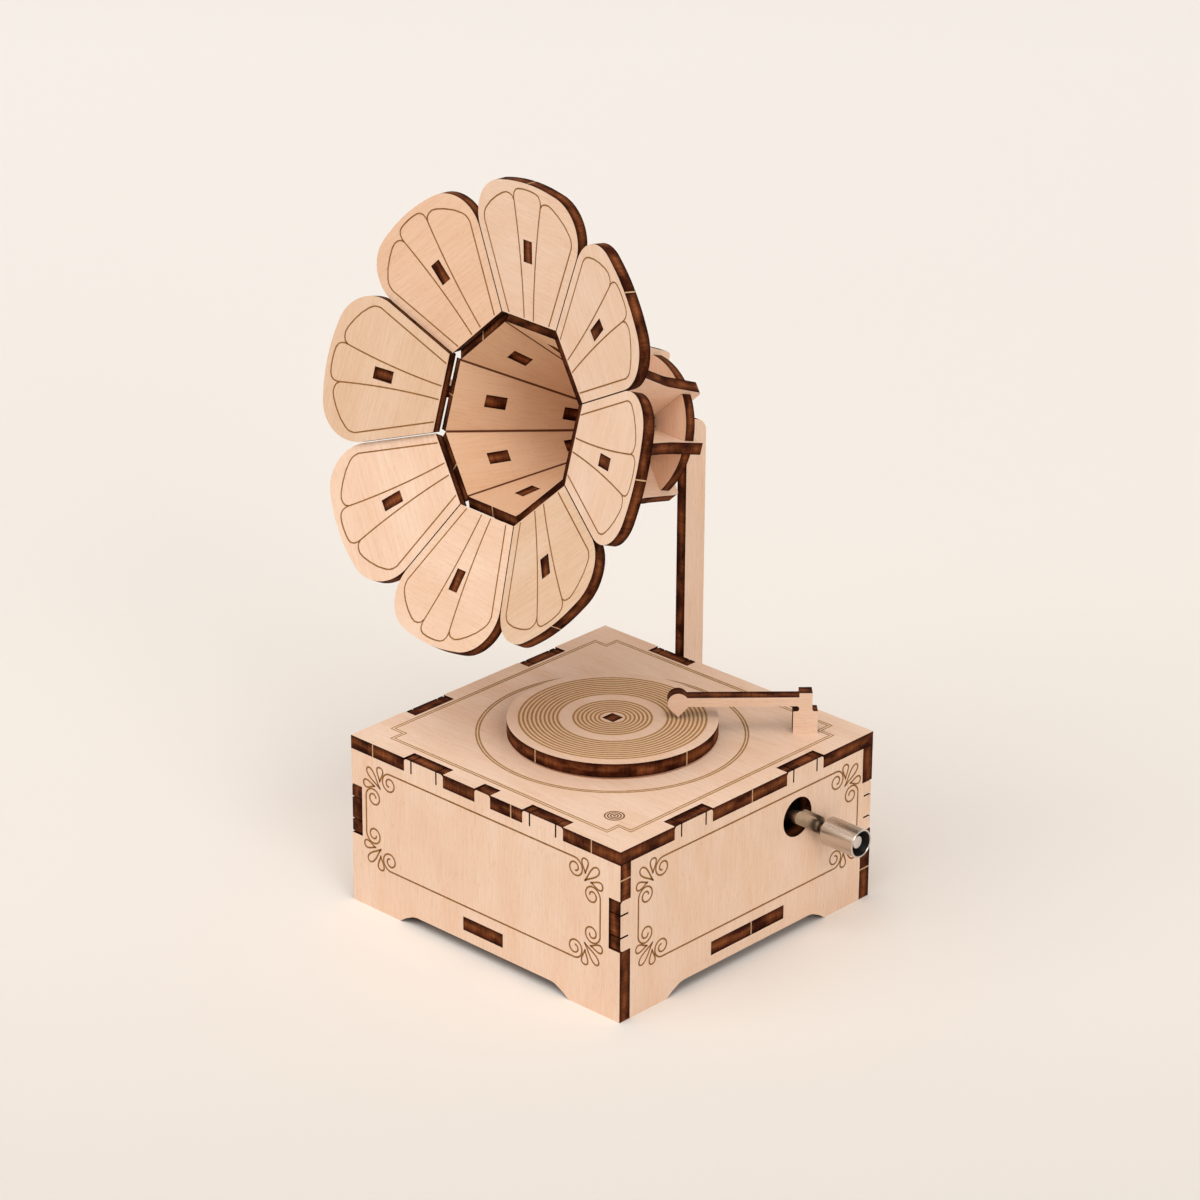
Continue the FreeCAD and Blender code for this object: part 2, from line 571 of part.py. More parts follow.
def cone_panel():
    def half_width(distance):
        return (MOUTH_INNER - distance * math.sin(CONE)) * SIDE_SLOPE - FIT / 2

    length = cone_length()
    start, end = half_width(0), half_width(length)
    outline = plate([(0, -start), (length, -end), (length, end), (0, start)], HORN_SHEET)
    half_tab, half_length = HORN_SHEET / 2 + FIT, CONE_TAB_LENGTH / 2 + FIT
    windows = [
        block(place - half_length, place + half_length, -half_tab, half_tab, -1, HORN_SHEET + 1)
        for place in CONE_TAB_PLACES
    ]
    return outline.cut(windows)


def rib():
    """Radial sheet that carries one petal and one cone panel, drawn with the axis as x."""
    skin = HORN_SHEET + FIT           # underside of the sheets that the rib stands against
    buried = TAB_RECESS               # tab ends stay just under the face

    half_petal_tab, half_cone_tab = PETAL_TAB_LENGTH / 2, CONE_TAB_LENGTH / 2
    top_distance = (RIB_TOP_REACH - PETAL_START) / math.cos(PETAL)
    tab_low, tab_high = PETAL_TAB_PLACE - half_petal_tab, PETAL_TAB_PLACE + half_petal_tab
    corners = [cone_point(RIB_NECK_PLACES[0], skin), petal_point(RIB_NECK_PLACES[1], skin)]
    corners += [petal_point(tab_low, skin), petal_point(tab_low, buried)]
    corners += [petal_point(tab_high, buried), petal_point(tab_high, skin)]
    corners += [petal_point(top_distance, skin) + (RIB_TOP_ROUND,)]
    corners += RIB_WAIST
    rear = -HORN_SHEET - RIB_LUG_LENGTH
    corners += [(rear, RIB_END_REACH, RIB_LUG_ROUND), (rear, RIB_LUG_REACH, RIB_LUG_ROUND)]
    corners += [(FIT, RIB_LUG_REACH)]
    rear_distance = cone_length() - 0.6
    foot = cone_point(rear_distance, skin)
    corners += [(FIT, foot[1]), foot]
    for place in reversed(CONE_TAB_PLACES):
        corners += [cone_point(place + half_cone_tab, skin), cone_point(place + half_cone_tab, buried)]
        corners += [cone_point(place - half_cone_tab, buried), cone_point(place - half_cone_tab, skin)]
    return plate(corners, HORN_SHEET, -HORN_SHEET / 2)


def build_horn():
    petal_shape, panel_shape, rib_shape = petal(), cone_panel(), rib()
    for number in range(HORN_SIDES):
        outward = side_outward(number)
        across = FORWARD.cross(outward)
        slope = outward * math.cos(PETAL) + FORWARD * math.sin(PETAL)
        petal_origin = horn_point(THROAT_LENGTH + PETAL_LEAD, PETAL_START, outward)
        if number + 1 == PROUD_PETAL:
            petal_origin -= across.cross(slope) * PROUD_PETAL_LIFT
        save("horn_petal_%d" % (number + 1), stand(petal_shape, petal_origin, across, slope))
        inward = FORWARD * -math.cos(CONE) - outward * math.sin(CONE)
        panel_origin = horn_point(THROAT_LENGTH, MOUTH_INNER, outward)
        save("horn_panel_%d" % (number + 1), stand(panel_shape, panel_origin, inward, across))
        save("horn_rib_%d" % (number + 1), stand(rib_shape, DISC_CENTRE, FORWARD, outward))


def tongue_slot_size():
    """Width and height that let the tongue through although the horn is turned and rolled on it."""
    turn, roll = abs(math.radians(HORN_TURN)), abs(math.radians(HORN_ROLL))
    width = HORN_SHEET * (math.cos(turn) + math.sin(turn)) + TONGUE_HEIGHT * math.sin(roll)
    height = TONGUE_HEIGHT + HORN_SHEET * math.sin(roll)
    return width + 2 * FIT, height + 2 * FIT


def build_rear_disc():
    disc = Part.makeCylinder(DISC_RADIUS, HORN_SHEET, Vector(0, 0, -HORN_SHEET))
    half = HORN_SHEET / 2 + FIT
    notch = block(RIB_LUG_REACH - FIT, DISC_RADIUS + 1, -half, half, -HORN_SHEET - 1, 1)
    cuts = []
    for number in range(HORN_SIDES):
        turned = notch.copy()
        turned.rotate(Vector(0, 0, 0), Z_AXIS, 360.0 * number / HORN_SIDES)
        cuts.append(turned)
    width, height = tongue_slot_size()
    cuts.append(block(-height / 2, height / 2, -width / 2, width / 2, -HORN_SHEET - 1, 1))
    disc = disc.cut(cuts)
    save("horn_rear_disc", stand(disc, DISC_CENTRE, UP, FORWARD.cross(UP)))


def build_post():
    """Upright behind the box with an arm along the horn's axis, drawn in the Y-Z plane."""
    tilt = math.radians(HORN_TILT)
    back, up = (math.cos(tilt), -math.sin(tilt)), (math.sin(tilt), math.cos(tilt))

    def on_axis(behind, above):
        """Y and Z of a point so far behind the disc's front face and above the horn's axis."""
        y = DISC_MIDDLE.y + back[0] * (behind - HORN_SHEET / 2) + up[0] * above
        z = DISC_MIDDLE.z + back[1] * (behind - HORN_SHEET / 2) + up[1] * above
        return y, z

    def axis_height(y, above):
        """Height of the line that runs along the axis at the given distance above it."""
        start = on_axis(0, above)
        return start[1] - (y - start[0]) * math.tan(tilt)

    near, far = HALF_DEPTH + FIT, HALF_DEPTH + POST_DEPTH
    shoulder = HORN_SHEET + 0.25
    arm_low = POST_ARM_TOP - POST_ARM_HEIGHT
    corners = [(near, POST_FOOT), (far, POST_FOOT, 1.0), (far, axis_height(far, POST_ARM_TOP), POST_ROUND)]
    corners += [on_axis(shoulder, POST_ARM_TOP), on_axis(shoulder, TONGUE_HEIGHT / 2)]
    corners += [on_axis(TAB_RECESS, TONGUE_HEIGHT / 2), on_axis(TAB_RECESS, -TONGUE_HEIGHT / 2)]
    corners += [on_axis(shoulder, -TONGUE_HEIGHT / 2), on_axis(shoulder, arm_low)]
    corners += [(near, axis_height(near, arm_low), 3.0)]
    tab_end = HALF_DEPTH - BOX_SHEET + TAB_RECESS
    for level in reversed(POST_TAB_LEVELS):
        corners += [(near, level + POST_TAB_HEIGHT), (tab_end, level + POST_TAB_HEIGHT)]
        corners += [(tab_end, level), (near, level)]
    post = plate(corners, HORN_SHEET)
    save("horn_post", stand(post, Vector(POST_X - HORN_SHEET / 2, 0, 0), Y_AXIS, Z_AXIS))


# ---- crank ---------------------------------------------------------------
def screw(head_top, length, clearance=0.0):
    """Countersunk screw that points down from the top of its head."""
    head_radius = SCREW_HEAD_RADIUS + clearance
    shank_radius = SCREW_RADIUS + clearance
    head = Part.makeCone(head_radius, shank_radius, SCREW_HEAD_HEIGHT, head_top, Vector(0, 0, -1))
    shank = rod(shank_radius, head_top, Vector(0, 0, -1), length)
    return head.fuse(shank)


def pan_screw(x, y, seat, length):
    """Flat headed screw that points up, its head under the given seat."""
    head = rod(SCREW_HEAD_RADIUS, Vector(x, y, seat - SCREW_HEAD_HEIGHT), Z_AXIS, SCREW_HEAD_HEIGHT)
    shank = rod(SCREW_RADIUS, Vector(x, y, seat - SCREW_HEAD_HEIGHT), Z_AXIS, SCREW_HEAD_HEIGHT + length)
    return head.fuse(shank).removeSplitter()


def crank_arm_direction():
    angle = math.radians(CRANK_ARM_ANGLE)
    return Vector(0, math.cos(angle), math.sin(angle))


def stadium(half_width, start_reach, end_reach):
    """Strip with round ends, between two centres on the x axis."""
    start, end = Vector(start_reach, 0, 0), Vector(end_reach, 0, 0)
    lift = Vector(0, half_width, 0)
    path = [
        Part.LineSegment(start - lift, end - lift).toShape(),
        Part.Arc(end - lift, end + Vector(half_width, 0, 0), end + lift).toShape(),
        Part.LineSegment(end + lift, start + lift).toShape(),
        Part.Arc(start + lift, start - Vector(half_width, 0, 0), start - lift).toShape(),
    ]
    return Part.Face(Part.Wire(path))


def crank_arm():
    """Channel with a dished front and, behind it, the flange that stands out on its upper side."""
    half = CRANK_ARM_WIDTH / 2
    strip = stadium(half, 0, CRANK_ARM_REACH).extrude(Vector(0, 0, CRANK_ARM_THICK))
    flange = stadium(CRANK_FLANGE_WIDTH / 2, CRANK_FLANGE_START, CRANK_FLANGE_END)
    flange = flange.extrude(Vector(0, 0, CRANK_FLANGE_THICK))
    flange.translate(Vector(0, CRANK_FLANGE_LIFT, 0))
    dish = stadium(half - CRANK_ARM_RIM, 0, CRANK_ARM_REACH).extrude(Vector(0, 0, 1))
    dish.translate(Vector(0, 0, CRANK_ARM_THICK - CRANK_ARM_DISH))
    arm = strip.fuse(flange).removeSplitter().cut(dish)
    neck_hole = rod(SHAFT_NECK_RADIUS + FIT / 2, Vector(0, 0, -1), Z_AXIS, 1 + CRANK_ARM_RIVET + FIT)
    pin_hole = rod(PIN_RADIUS + FIT / 2, Vector(CRANK_ARM_REACH, 0, -1), Z_AXIS, CRANK_ARM_THICK + 2)
    return arm.cut([neck_hole, pin_hole])


def build_crank():
    arm_inner = HALF_WIDTH + CRANK_ARM_GAP
    arm_outer = arm_inner + CRANK_ARM_THICK
    axis = Vector(0, CRANK_Y, CRANK_Z)
    shaft_start = CYLINDER_X - shaft_reach_left()
    shaft_end = arm_inner - SHAFT_NECK_LENGTH
    shaft = rod(SHAFT_RADIUS, axis + X_AXIS * shaft_start, X_AXIS, shaft_end - shaft_start)
    neck_length = arm_inner + CRANK_ARM_RIVET - shaft_start
    neck = rod(SHAFT_NECK_RADIUS, axis + X_AXIS * shaft_start, X_AXIS, neck_length)
    save("crank_shaft", shaft.fuse(neck).removeSplitter())

    reach = crank_arm_direction()
    save("crank_arm", stand(crank_arm(), axis + X_AXIS * arm_inner, reach, X_AXIS.cross(reach)))

    knob_axis = axis + reach * CRANK_ARM_REACH
    knob_start = arm_outer + KNOB_GAP
    knob = rod(KNOB_RADIUS, knob_axis + X_AXIS * knob_start, X_AXIS, KNOB_LENGTH)
    floor = knob_axis + X_AXIS * (knob_start + KNOB_FLOOR)
    inside = rod(KNOB_RADIUS - KNOB_WALL, floor, X_AXIS, KNOB_LENGTH)
    bore = rod(PIN_RADIUS + BEARING_PLAY, knob_axis + X_AXIS * (knob_start - 1), X_AXIS, KNOB_FLOOR + 2)
    knob = knob.cut([inside, bore])
    mouth_edges = [edge for edge in knob.Edges if edge.BoundBox.XMin > knob_start + KNOB_LENGTH - 0.01]
    save("crank_knob", knob.makeChamfer(KNOB_MOUTH_CHAMFER, mouth_edges))

    head_start = knob_start + KNOB_LENGTH - PIN_HEAD_DEPTH - PIN_HEAD_LENGTH
    pin = rod(PIN_RADIUS, knob_axis + X_AXIS * arm_inner, X_AXIS, head_start - arm_inner)
    head = rod(PIN_HEAD_RADIUS, knob_axis + X_AXIS * head_start, X_AXIS, PIN_HEAD_LENGTH)
    outer_shoulder = knob_axis + X_AXIS * (knob_start + KNOB_FLOOR + KNOB_END_PLAY)
    collar = rod(PIN_SHOULDER_RADIUS, outer_shoulder, X_AXIS, PIN_SHOULDER_LENGTH)
    inner_shoulder = rod(PIN_SHOULDER_RADIUS, knob_axis + X_AXIS * (arm_outer + FIT), X_AXIS,
                         KNOB_GAP - FIT - KNOB_END_PLAY)
    save("knob_pin", pin.fuse([head, collar, inner_shoulder]).removeSplitter())


# ---- movement ------------------------------------------------------------
def worm_length():
    return WORM_PITCH * WORM_TURNS


def lug_start():
    """Middle of the worm to the nearer face of each shaft lug."""
    return worm_length() / 2 + WORM_ROOT_WIDTH / 2 + 0.4


def shaft_reach_left():
    """Middle of the worm to the left end of the crank shaft."""
    return lug_start() + SHAFT_LUG_THICK + 0.4


def comb_x_base():
    """Right edge of the comb's solid base, from which the longest tooth starts."""
    tip = CYLINDER_X - CYLINDER_RADIUS - PIN_HEIGHT - COMB_TIP_GAP
    return tip - COMB_LONG_TOOTH


def comb_y_start():
    middle = CYLINDER_FRONT + CYLINDER_LENGTH / 2
    return middle - TUNE_NOTES * COMB_PITCH / 2


def comb_screw_places():
    x = comb_x_base() - COMB_BASE / 2
    low = comb_y_start() + COMB_SCREW_INSET
    high = comb_y_start() + TUNE_NOTES * COMB_PITCH - COMB_SCREW_INSET
    return [(x, low), (x, high)]


def build_bedplate():
    underside = DECK_UNDERSIDE - BEDPLATE_THICK
    outline = rectangle(BEDPLATE_LEFT, BEDPLATE_RIGHT, BEDPLATE_FRONT, BEDPLATE_BACK, BEDPLATE_ROUND)
    base = plate(outline, BEDPLATE_THICK, underside)
    comb_top = CYLINDER_Z + COMB_TOOTH_THICK / 2
    x_base = comb_x_base()
    y_start = comb_y_start()
    pedestal = block(x_base - COMB_BASE, x_base - 0.6, y_start, y_start + TUNE_NOTES * COMB_PITCH,
                     comb_top + FIT, underside + CASTING_OVERLAP)
    lugs = []
    y_low, y_high = CRANK_Y - SHAFT_LUG_HALF_WIDTH, CRANK_Y + SHAFT_LUG_HALF_WIDTH
    for x in (CYLINDER_X - lug_start() - SHAFT_LUG_THICK, CYLINDER_X + lug_start()):
        lugs.append(block(x, x + SHAFT_LUG_THICK, y_low, y_high,
                          CRANK_Z - SHAFT_LUG_BELOW, underside + CASTING_OVERLAP))
    body = base.fuse([pedestal] + lugs).removeSplitter()
    bore = rod(SHAFT_RADIUS + BEARING_PLAY, Vector(CYLINDER_X - 20, CRANK_Y, CRANK_Z), X_AXIS, 40)
    spindle = rod(spindle_bore_radius() + 0.5, Vector(0, 0, underside - 1), Z_AXIS, BEDPLATE_THICK + 2)
    cuts = [bore, spindle]
    for x, y in MOVEMENT_SCREW_PLACES:
        cuts.append(rod(SCREW_RADIUS + FIT / 2, Vector(x, y, underside - 1), Z_AXIS, BEDPLATE_THICK + 2))
    for x, y in comb_screw_places():
        cuts.append(rod(SCREW_RADIUS + FIT / 2, Vector(x, y, comb_top - 1), Z_AXIS, 5))
    for x, y in bearing_screw_places():
        cuts.append(rod(SCREW_RADIUS + FIT / 2, Vector(x, y, underside - 1), Z_AXIS, BEDPLATE_THICK + 2))
    save("bedplate", body.cut(cuts))


def build_comb():
    x_base = comb_x_base()
    y_start = comb_y_start()
    low = CYLINDER_Z - COMB_TOOTH_THICK / 2
    high = CYLINDER_Z + COMB_TOOTH_THICK / 2
    width = TUNE_NOTES * COMB_PITCH
    tip = x_base + COMB_LONG_TOOTH
    slant = COMB_LONG_TOOTH - COMB_SHORT_TOOTH
    base = block(x_base - COMB_BASE, x_base, y_start, y_start + width, high - COMB_THICK, high)
    root = plate([(x_base, y_start), (x_base + slant, y_start + width), (x_base, y_start + width)],
                 COMB_THICK, high - COMB_THICK)
    blank = plate(rectangle(x_base, tip, y_start, y_start + width), COMB_TOOTH_THICK, low)
    gaps = []
    for number in range(1, TUNE_NOTES):
        y = y_start + number * COMB_PITCH
        start = x_base + slant * number / TUNE_NOTES + 0.4
        gaps.append(block(start, tip + 1, y - COMB_SLOT / 2, y + COMB_SLOT / 2, low - 1, high + 1))
    comb = base.fuse([root, blank.cut(gaps)]).removeSplitter()
    holes = [
        rod(SCREW_RADIUS + FIT, Vector(x, y, low - 2), Z_AXIS, 5) for x, y in comb_screw_places()
    ]
    save("comb", comb.cut(holes))
    seat = high - COMB_THICK
    comb_screws = [pan_screw(x, y, seat, COMB_THICK + COMB_SCREW_BITE) for x, y in comb_screw_places()]
    save("comb_screws", *comb_screws)


def gear_wire(y, turn):
    """Toothed outline in the plane y, turned about the cylinder's axis."""
    pitch_angle = 2 * math.pi / GEAR_TEETH
    root = GEAR_PITCH_RADIUS - GEAR_ROOT_DEPTH
    tip = GEAR_PITCH_RADIUS + GEAR_TIP_HEIGHT
    offsets = [
        (root, -GEAR_ROOT_TOOTH / 2 / root), (tip, -GEAR_TIP_TOOTH / 2 / tip),
        (tip, GEAR_TIP_TOOTH / 2 / tip), (root, GEAR_ROOT_TOOTH / 2 / root),
    ]
    points = []
    for number in range(GEAR_TEETH):
        for radius, offset in offsets:
            angle = number * pitch_angle + offset + turn
            across, rise = radius * math.sin(angle), radius * math.cos(angle)
            points.append(Vector(CYLINDER_X + across, y, CYLINDER_Z + rise))
    return Part.makePolygon(points + points[:1])


def build_cylinder():
    gear_front = CRANK_Y - GEAR_WIDTH / 2
    twist = WORM_PITCH / (2 * math.pi * WORM_PITCH_RADIUS) * GEAR_WIDTH / GEAR_PITCH_RADIUS
    front_wire = gear_wire(gear_front, -twist / 2)
    back_wire = gear_wire(gear_front + GEAR_WIDTH, twist / 2)
    gear = Part.makeLoft([front_wire, back_wire], True, True)
    bore_start = Vector(CYLINDER_X, gear_front - 1, CYLINDER_Z)
    gear_bore = rod(ARBOR_RADIUS + FIT / 2, bore_start, Y_AXIS, GEAR_WIDTH + 2)
    save("cylinder_gear", gear.cut(gear_bore))

    start = Vector(CYLINDER_X, CYLINDER_FRONT, CYLINDER_Z)
    tube = rod(CYLINDER_RADIUS, start, Y_AXIS, CYLINDER_LENGTH)
    pins = []
    for note in range(TUNE_NOTES):
        y = comb_y_start() + (note + 0.5) * COMB_PITCH
        for beat in (note * 7, note * 7 + 5 + note % 3):
            pin = block(-PIN_SIDE / 2, PIN_SIDE / 2, -PIN_SIDE / 2, PIN_SIDE / 2,
                        CYLINDER_RADIUS - PIN_ROOT, CYLINDER_RADIUS + PIN_HEIGHT)
            pin.rotate(Vector(0, 0, 0), Y_AXIS, 360.0 * (beat % TUNE_STEPS) / TUNE_STEPS)
            pin.translate(Vector(CYLINDER_X, y, CYLINDER_Z))
            pins.append(pin)
    inner = CYLINDER_RADIUS - CYLINDER_WALL
    hollow = rod(inner, start - Y_AXIS, Y_AXIS, CYLINDER_LENGTH + 2)
    save("cylinder", tube.fuse(pins).cut(hollow))

    plug = rod(inner - FIT / 2, start, Y_AXIS, CYLINDER_PLUG)
    bore = rod(ARBOR_RADIUS + FIT / 2, start - Y_AXIS, Y_AXIS, CYLINDER_PLUG + 2)
    front_plug = plug.cut(bore)
    back_plug = front_plug.copy()
    back_plug.translate(Y_AXIS * (CYLINDER_LENGTH - CYLINDER_PLUG))
    save("cylinder_plugs", front_plug, back_plug)

    arbor_front = bracket_front_face() - ARBOR_OVERHANG
    arbor_back = bracket_back_face() + BRACKET_THICK + ARBOR_OVERHANG
    arbor_start = Vector(CYLINDER_X, arbor_front, CYLINDER_Z)
    arbor = rod(ARBOR_RADIUS, arbor_start, Y_AXIS, arbor_back - arbor_front)
    save("cylinder_arbor", arbor)


def bracket_front_face():
    return CYLINDER_FRONT - 0.5 - BRACKET_THICK


def bracket_back_face():
    """The rear bracket stands behind the worm, which reaches further back than the gear."""
    return CRANK_Y + WORM_OUTER_RADIUS + 0.4


def bearing_screw_places():
    front = bracket_front_face() + BRACKET_THICK - BRACKET_FOOT / 2 - BRACKET_THICK / 2
    back = bracket_back_face() + BRACKET_FOOT / 2 + BRACKET_THICK / 2
    return [(CYLINDER_X, front), (CYLINDER_X, back)]


def bracket(foot_low, foot_high, upright_low, screw_place):
    """Bent plate under the bedplate: a foot and an upright with the arbor's bore."""
    top = DECK_UNDERSIDE - BEDPLATE_THICK
    x_low, x_high = CYLINDER_X - BRACKET_WIDTH / 2, CYLINDER_X + BRACKET_WIDTH / 2
    low = CYLINDER_Z - BRACKET_BELOW
    upright = block(x_low, x_high, upright_low, upright_low + BRACKET_THICK, low, top)
    foot = block(x_low, x_high, foot_low, foot_high, top - BRACKET_THICK, top)
    through = BRACKET_THICK + 2
    bore_start = Vector(CYLINDER_X, upright_low - 1, CYLINDER_Z)
    bore = rod(ARBOR_RADIUS + BEARING_PLAY, bore_start, Y_AXIS, through)
    hole_start = Vector(*screw_place, top - BRACKET_THICK - 1)
    screw_hole = rod(SCREW_RADIUS + FIT / 2, hole_start, Z_AXIS, through)
    return upright.fuse(foot).removeSplitter().cut([bore, screw_hole])


def build_brackets():
    front_place, back_place = bearing_screw_places()
    front_face, back_face = bracket_front_face(), bracket_back_face()
    front_end = front_face + BRACKET_THICK
    save("front_bearing", bracket(front_end - BRACKET_FOOT, front_end, front_face, front_place))
    save("back_bearing", bracket(back_face, back_face + BRACKET_FOOT, back_face, back_place))
    seat = DECK_UNDERSIDE - BEDPLATE_THICK - BRACKET_THICK
    save("bearing_screws", *[pan_screw(x, y, seat, BRACKET_THICK + BEDPLATE_THICK - 0.2)
                             for x, y in (front_place, back_place)])


def build_worm():
    """Worm on the crank shaft; under its middle is a gap, where the gear's top tooth stands."""
    length = worm_length()
    bottom = WORM_SLEEVE_RADIUS - 0.15
    half_root, half_tip = WORM_ROOT_WIDTH / 2, WORM_TIP_WIDTH / 2
    profile = Part.makePolygon([
        Vector(bottom, 0, -half_root), Vector(WORM_OUTER_RADIUS, 0, -half_tip),
        Vector(WORM_OUTER_RADIUS, 0, half_tip), Vector(bottom, 0, half_root), Vector(bottom, 0, -half_root),
    ])
    helix = Part.makeHelix(WORM_PITCH, length, WORM_SLEEVE_RADIUS)
    thread = Part.Wire(helix.Edges).makePipeShell([profile], True, True)
    thread.rotate(Vector(0, 0, 0), Z_AXIS, 180.0 * (WORM_TURNS + 1))
    margin = WORM_ROOT_WIDTH / 2 + 0.1
    sleeve = Part.makeCylinder(WORM_SLEEVE_RADIUS, length + 2 * margin, Vector(0, 0, -margin))
    bore = Part.makeCylinder(SHAFT_RADIUS + FIT / 2, length + 4, Vector(0, 0, -2))
    worm = sleeve.fuse(thread).cut(bore)
    worm.rotate(Vector(0, 0, 0), Y_AXIS, 90)
    worm.translate(Vector(CYLINDER_X - length / 2, CRANK_Y, CRANK_Z))
    save("worm", worm)


def build_movement_screws():
    length = BOX_SHEET + BEDPLATE_THICK + 0.6
    top = BOX_HEIGHT - SCREW_SINK
    save("movement_screws", *[screw(Vector(x, y, top), length) for x, y in MOVEMENT_SCREW_PLACES])


os.makedirs("parts", exist_ok=True)
build_box_panels()
build_bottom_board()
build_deck()
build_record()
build_tonearm()
build_post()
build_rear_disc()
build_horn()
build_crank()
build_bedplate()
build_comb()
build_cylinder()
build_brackets()
build_worm()
build_movement_screws()
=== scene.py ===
import math

import bpy
from mathutils import Matrix, Vector


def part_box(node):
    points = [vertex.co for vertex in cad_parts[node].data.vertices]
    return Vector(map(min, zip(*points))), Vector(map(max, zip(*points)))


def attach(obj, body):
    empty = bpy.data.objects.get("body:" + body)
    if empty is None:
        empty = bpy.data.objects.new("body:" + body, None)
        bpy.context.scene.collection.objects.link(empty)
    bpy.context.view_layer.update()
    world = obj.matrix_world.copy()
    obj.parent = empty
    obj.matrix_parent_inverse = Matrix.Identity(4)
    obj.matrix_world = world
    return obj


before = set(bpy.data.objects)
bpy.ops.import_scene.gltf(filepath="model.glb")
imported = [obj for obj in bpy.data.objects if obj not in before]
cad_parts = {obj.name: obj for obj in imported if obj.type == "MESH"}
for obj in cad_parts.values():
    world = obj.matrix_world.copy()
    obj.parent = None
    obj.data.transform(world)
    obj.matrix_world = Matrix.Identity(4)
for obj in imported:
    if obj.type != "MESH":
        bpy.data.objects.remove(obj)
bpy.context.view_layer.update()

# Gramophone shaped music box of laser cut birch plywood, with a nickel plated crank.
# The frame is in metres: +X right, +Y back, +Z up. Sizes below are in millimetres; MM turns them.
MM = 0.001

# ---- sheets of the box ---------------------------------------------------
BOX_LOW, BOX_HIGH = (Vector(corner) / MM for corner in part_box("deck"))
HALF_WIDTH = BOX_HIGH.x
HALF_DEPTH = BOX_HIGH.y
DECK_TOP = BOX_HIGH.z
BOX_SHEET = BOX_HIGH.z - BOX_LOW.z
RECORD_HIGH = Vector(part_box("record")[1]) / MM
RECORD_RADIUS = RECORD_HIGH.x

# ---- horn, as it is glued on its post ------------------------------------
HORN_SHEET = 2.5
HORN_SIDES = 8
HORN_TILT = math.radians(17.3)     # axis above the horizontal
HORN_TURN = math.radians(-5.8)     # swing on its tongue
HORN_ROLL = math.radians(-1.6)     # roll about its axis
DISC_MIDDLE = Vector((-16.2, 23.8, 94.3))
THROAT_LENGTH = 33.9               # rear disc to the plane of the mouth
MOUTH_INNER = 18.3                 # axis to the middle of a mouth edge
CONE = math.radians(22.5)          # slant of the throat panels
PETAL_START = 20.2                 # axis to the inner edge of a petal
PETAL_LEAD = 0.9                   # plane of the mouth to the inner edge of a petal
PETAL_LEAN = math.radians(17.0)    # forward lean of the petals
PETAL_CROWN = 28.5                 # inner edge of a petal to the top of its outer edge
PROUD_PETAL = 7                    # petal that isn't pushed home on its rib
PROUD_PETAL_LIFT = 1.0             # how far it stands off the rib
NO_TINT = "#FFFFFF"
PETAL_TONES = {                    # tint of single petals; the others have none
    4: "#F0EDE4", 5: "#FBF9F6", 6: "#FBFAF9", 7: "#EDEAE2", 8: "#FAF2EA"}

# ---- laser engraving -----------------------------------------------------
LINE_RISE = 0.03                   # how far a burnt line stands over the sheet
LINE_WIDTH = 0.3
SCROLL_WIDTH = 0.36
BORDER_WIDTH = 0.34                # the deck's border and rings are burnt wider and lighter
SMOKE_MARGIN = 0.4                 # smoked wood beyond the record's outermost grooves
GROOVE_WIDTH = 0.42
RING_FACETS = 96
GROOVE_PITCH = 0.879
LABEL_GROOVES = (7, 2.79)          # count and first radius of the record's inner grooves
MUSIC_GROOVES = (10, 11.36)        # the same for its outer ones
DECK_RINGS = (2, 27.44)
DECK_RING_PITCH = 0.6
DECK_ENGRAVING_MIDDLE = (-0.35, 0.28)   # the deck's engraving sits a little off its middle
DECK_BORDER = 33.5                 # half side of the deck's border
DECK_BORDER_NOTCH = 3.3
DECK_BORDER_GAP = 0.6              # between its two lines
SPOT_PLACE = (26.25, -27.3)
SPOT_RINGS = (4, 0.15)
SPOT_PITCH = 0.6
SPOT_LINE_WIDTH = 0.28
FRAME_HALF_WIDTH = 33.2            # frame engraved on the box's panels
FRAME_LOW, FRAME_HIGH = 10.35, 32.65
FRONT_FRAME_MIDDLE = -0.55         # along X
SIDE_FRAME_MIDDLE = 0.45           # along Y
SCROLL_PLACE = (6.9, 2.25)         # frame's corner to the middle of a scroll
SCROLL_END = 0.6                   # radius where a scroll ends, after one and a half turns
SCROLL_TURNS = 1.5
LEAF_WIDTH = 1.75
MIDDLE_LEAF = ((4.25, 4.25), (0.5, 0.5))      # foot and tip, from the frame's corner inwards
SIDE_LEAF = ((4.1, 2.65), (4.2, -0.65))
PETAL_MARGIN = 2.35                # side of a petal to its engraved outline
NICKED_MOUTH_SIDES = (5, 6, 7, 8)
NICK_WIDTH, NICK_RISE = 0.28, 0.06
NICK_END_GAP = 0.1                 # sheet's thickness less a nick's length
TONEARM_FACES = (-2.0, 1.0)        # its sheet's faces, from the deck's diagonal
KNOB_SKIN = 0.4                    # plated outside of the knob, in from its radius

# ---- glue in the seams between the throat's panels ------------------------
SEAM_WIDTH, SEAM_DEPTH = 0.3, 0.24
SEAM_SETBACK = 0.16                # behind the panels' inner faces
SEAM_START, SEAM_END = 0.3, 1.0    # clear of the mouth and of the rear disc


# ---- helpers -------------------------------------------------------------
def linear(hex_colour):
    """sRGB hex colour as the linear one that a socket takes."""
    channels = [int(hex_colour[i:i + 2], 16) / 255 for i in (1, 3, 5)]
    return [c / 12.92 if c <= 0.04045 else ((c + 0.055) / 1.055) ** 2.4 for c in channels] + [1.0]


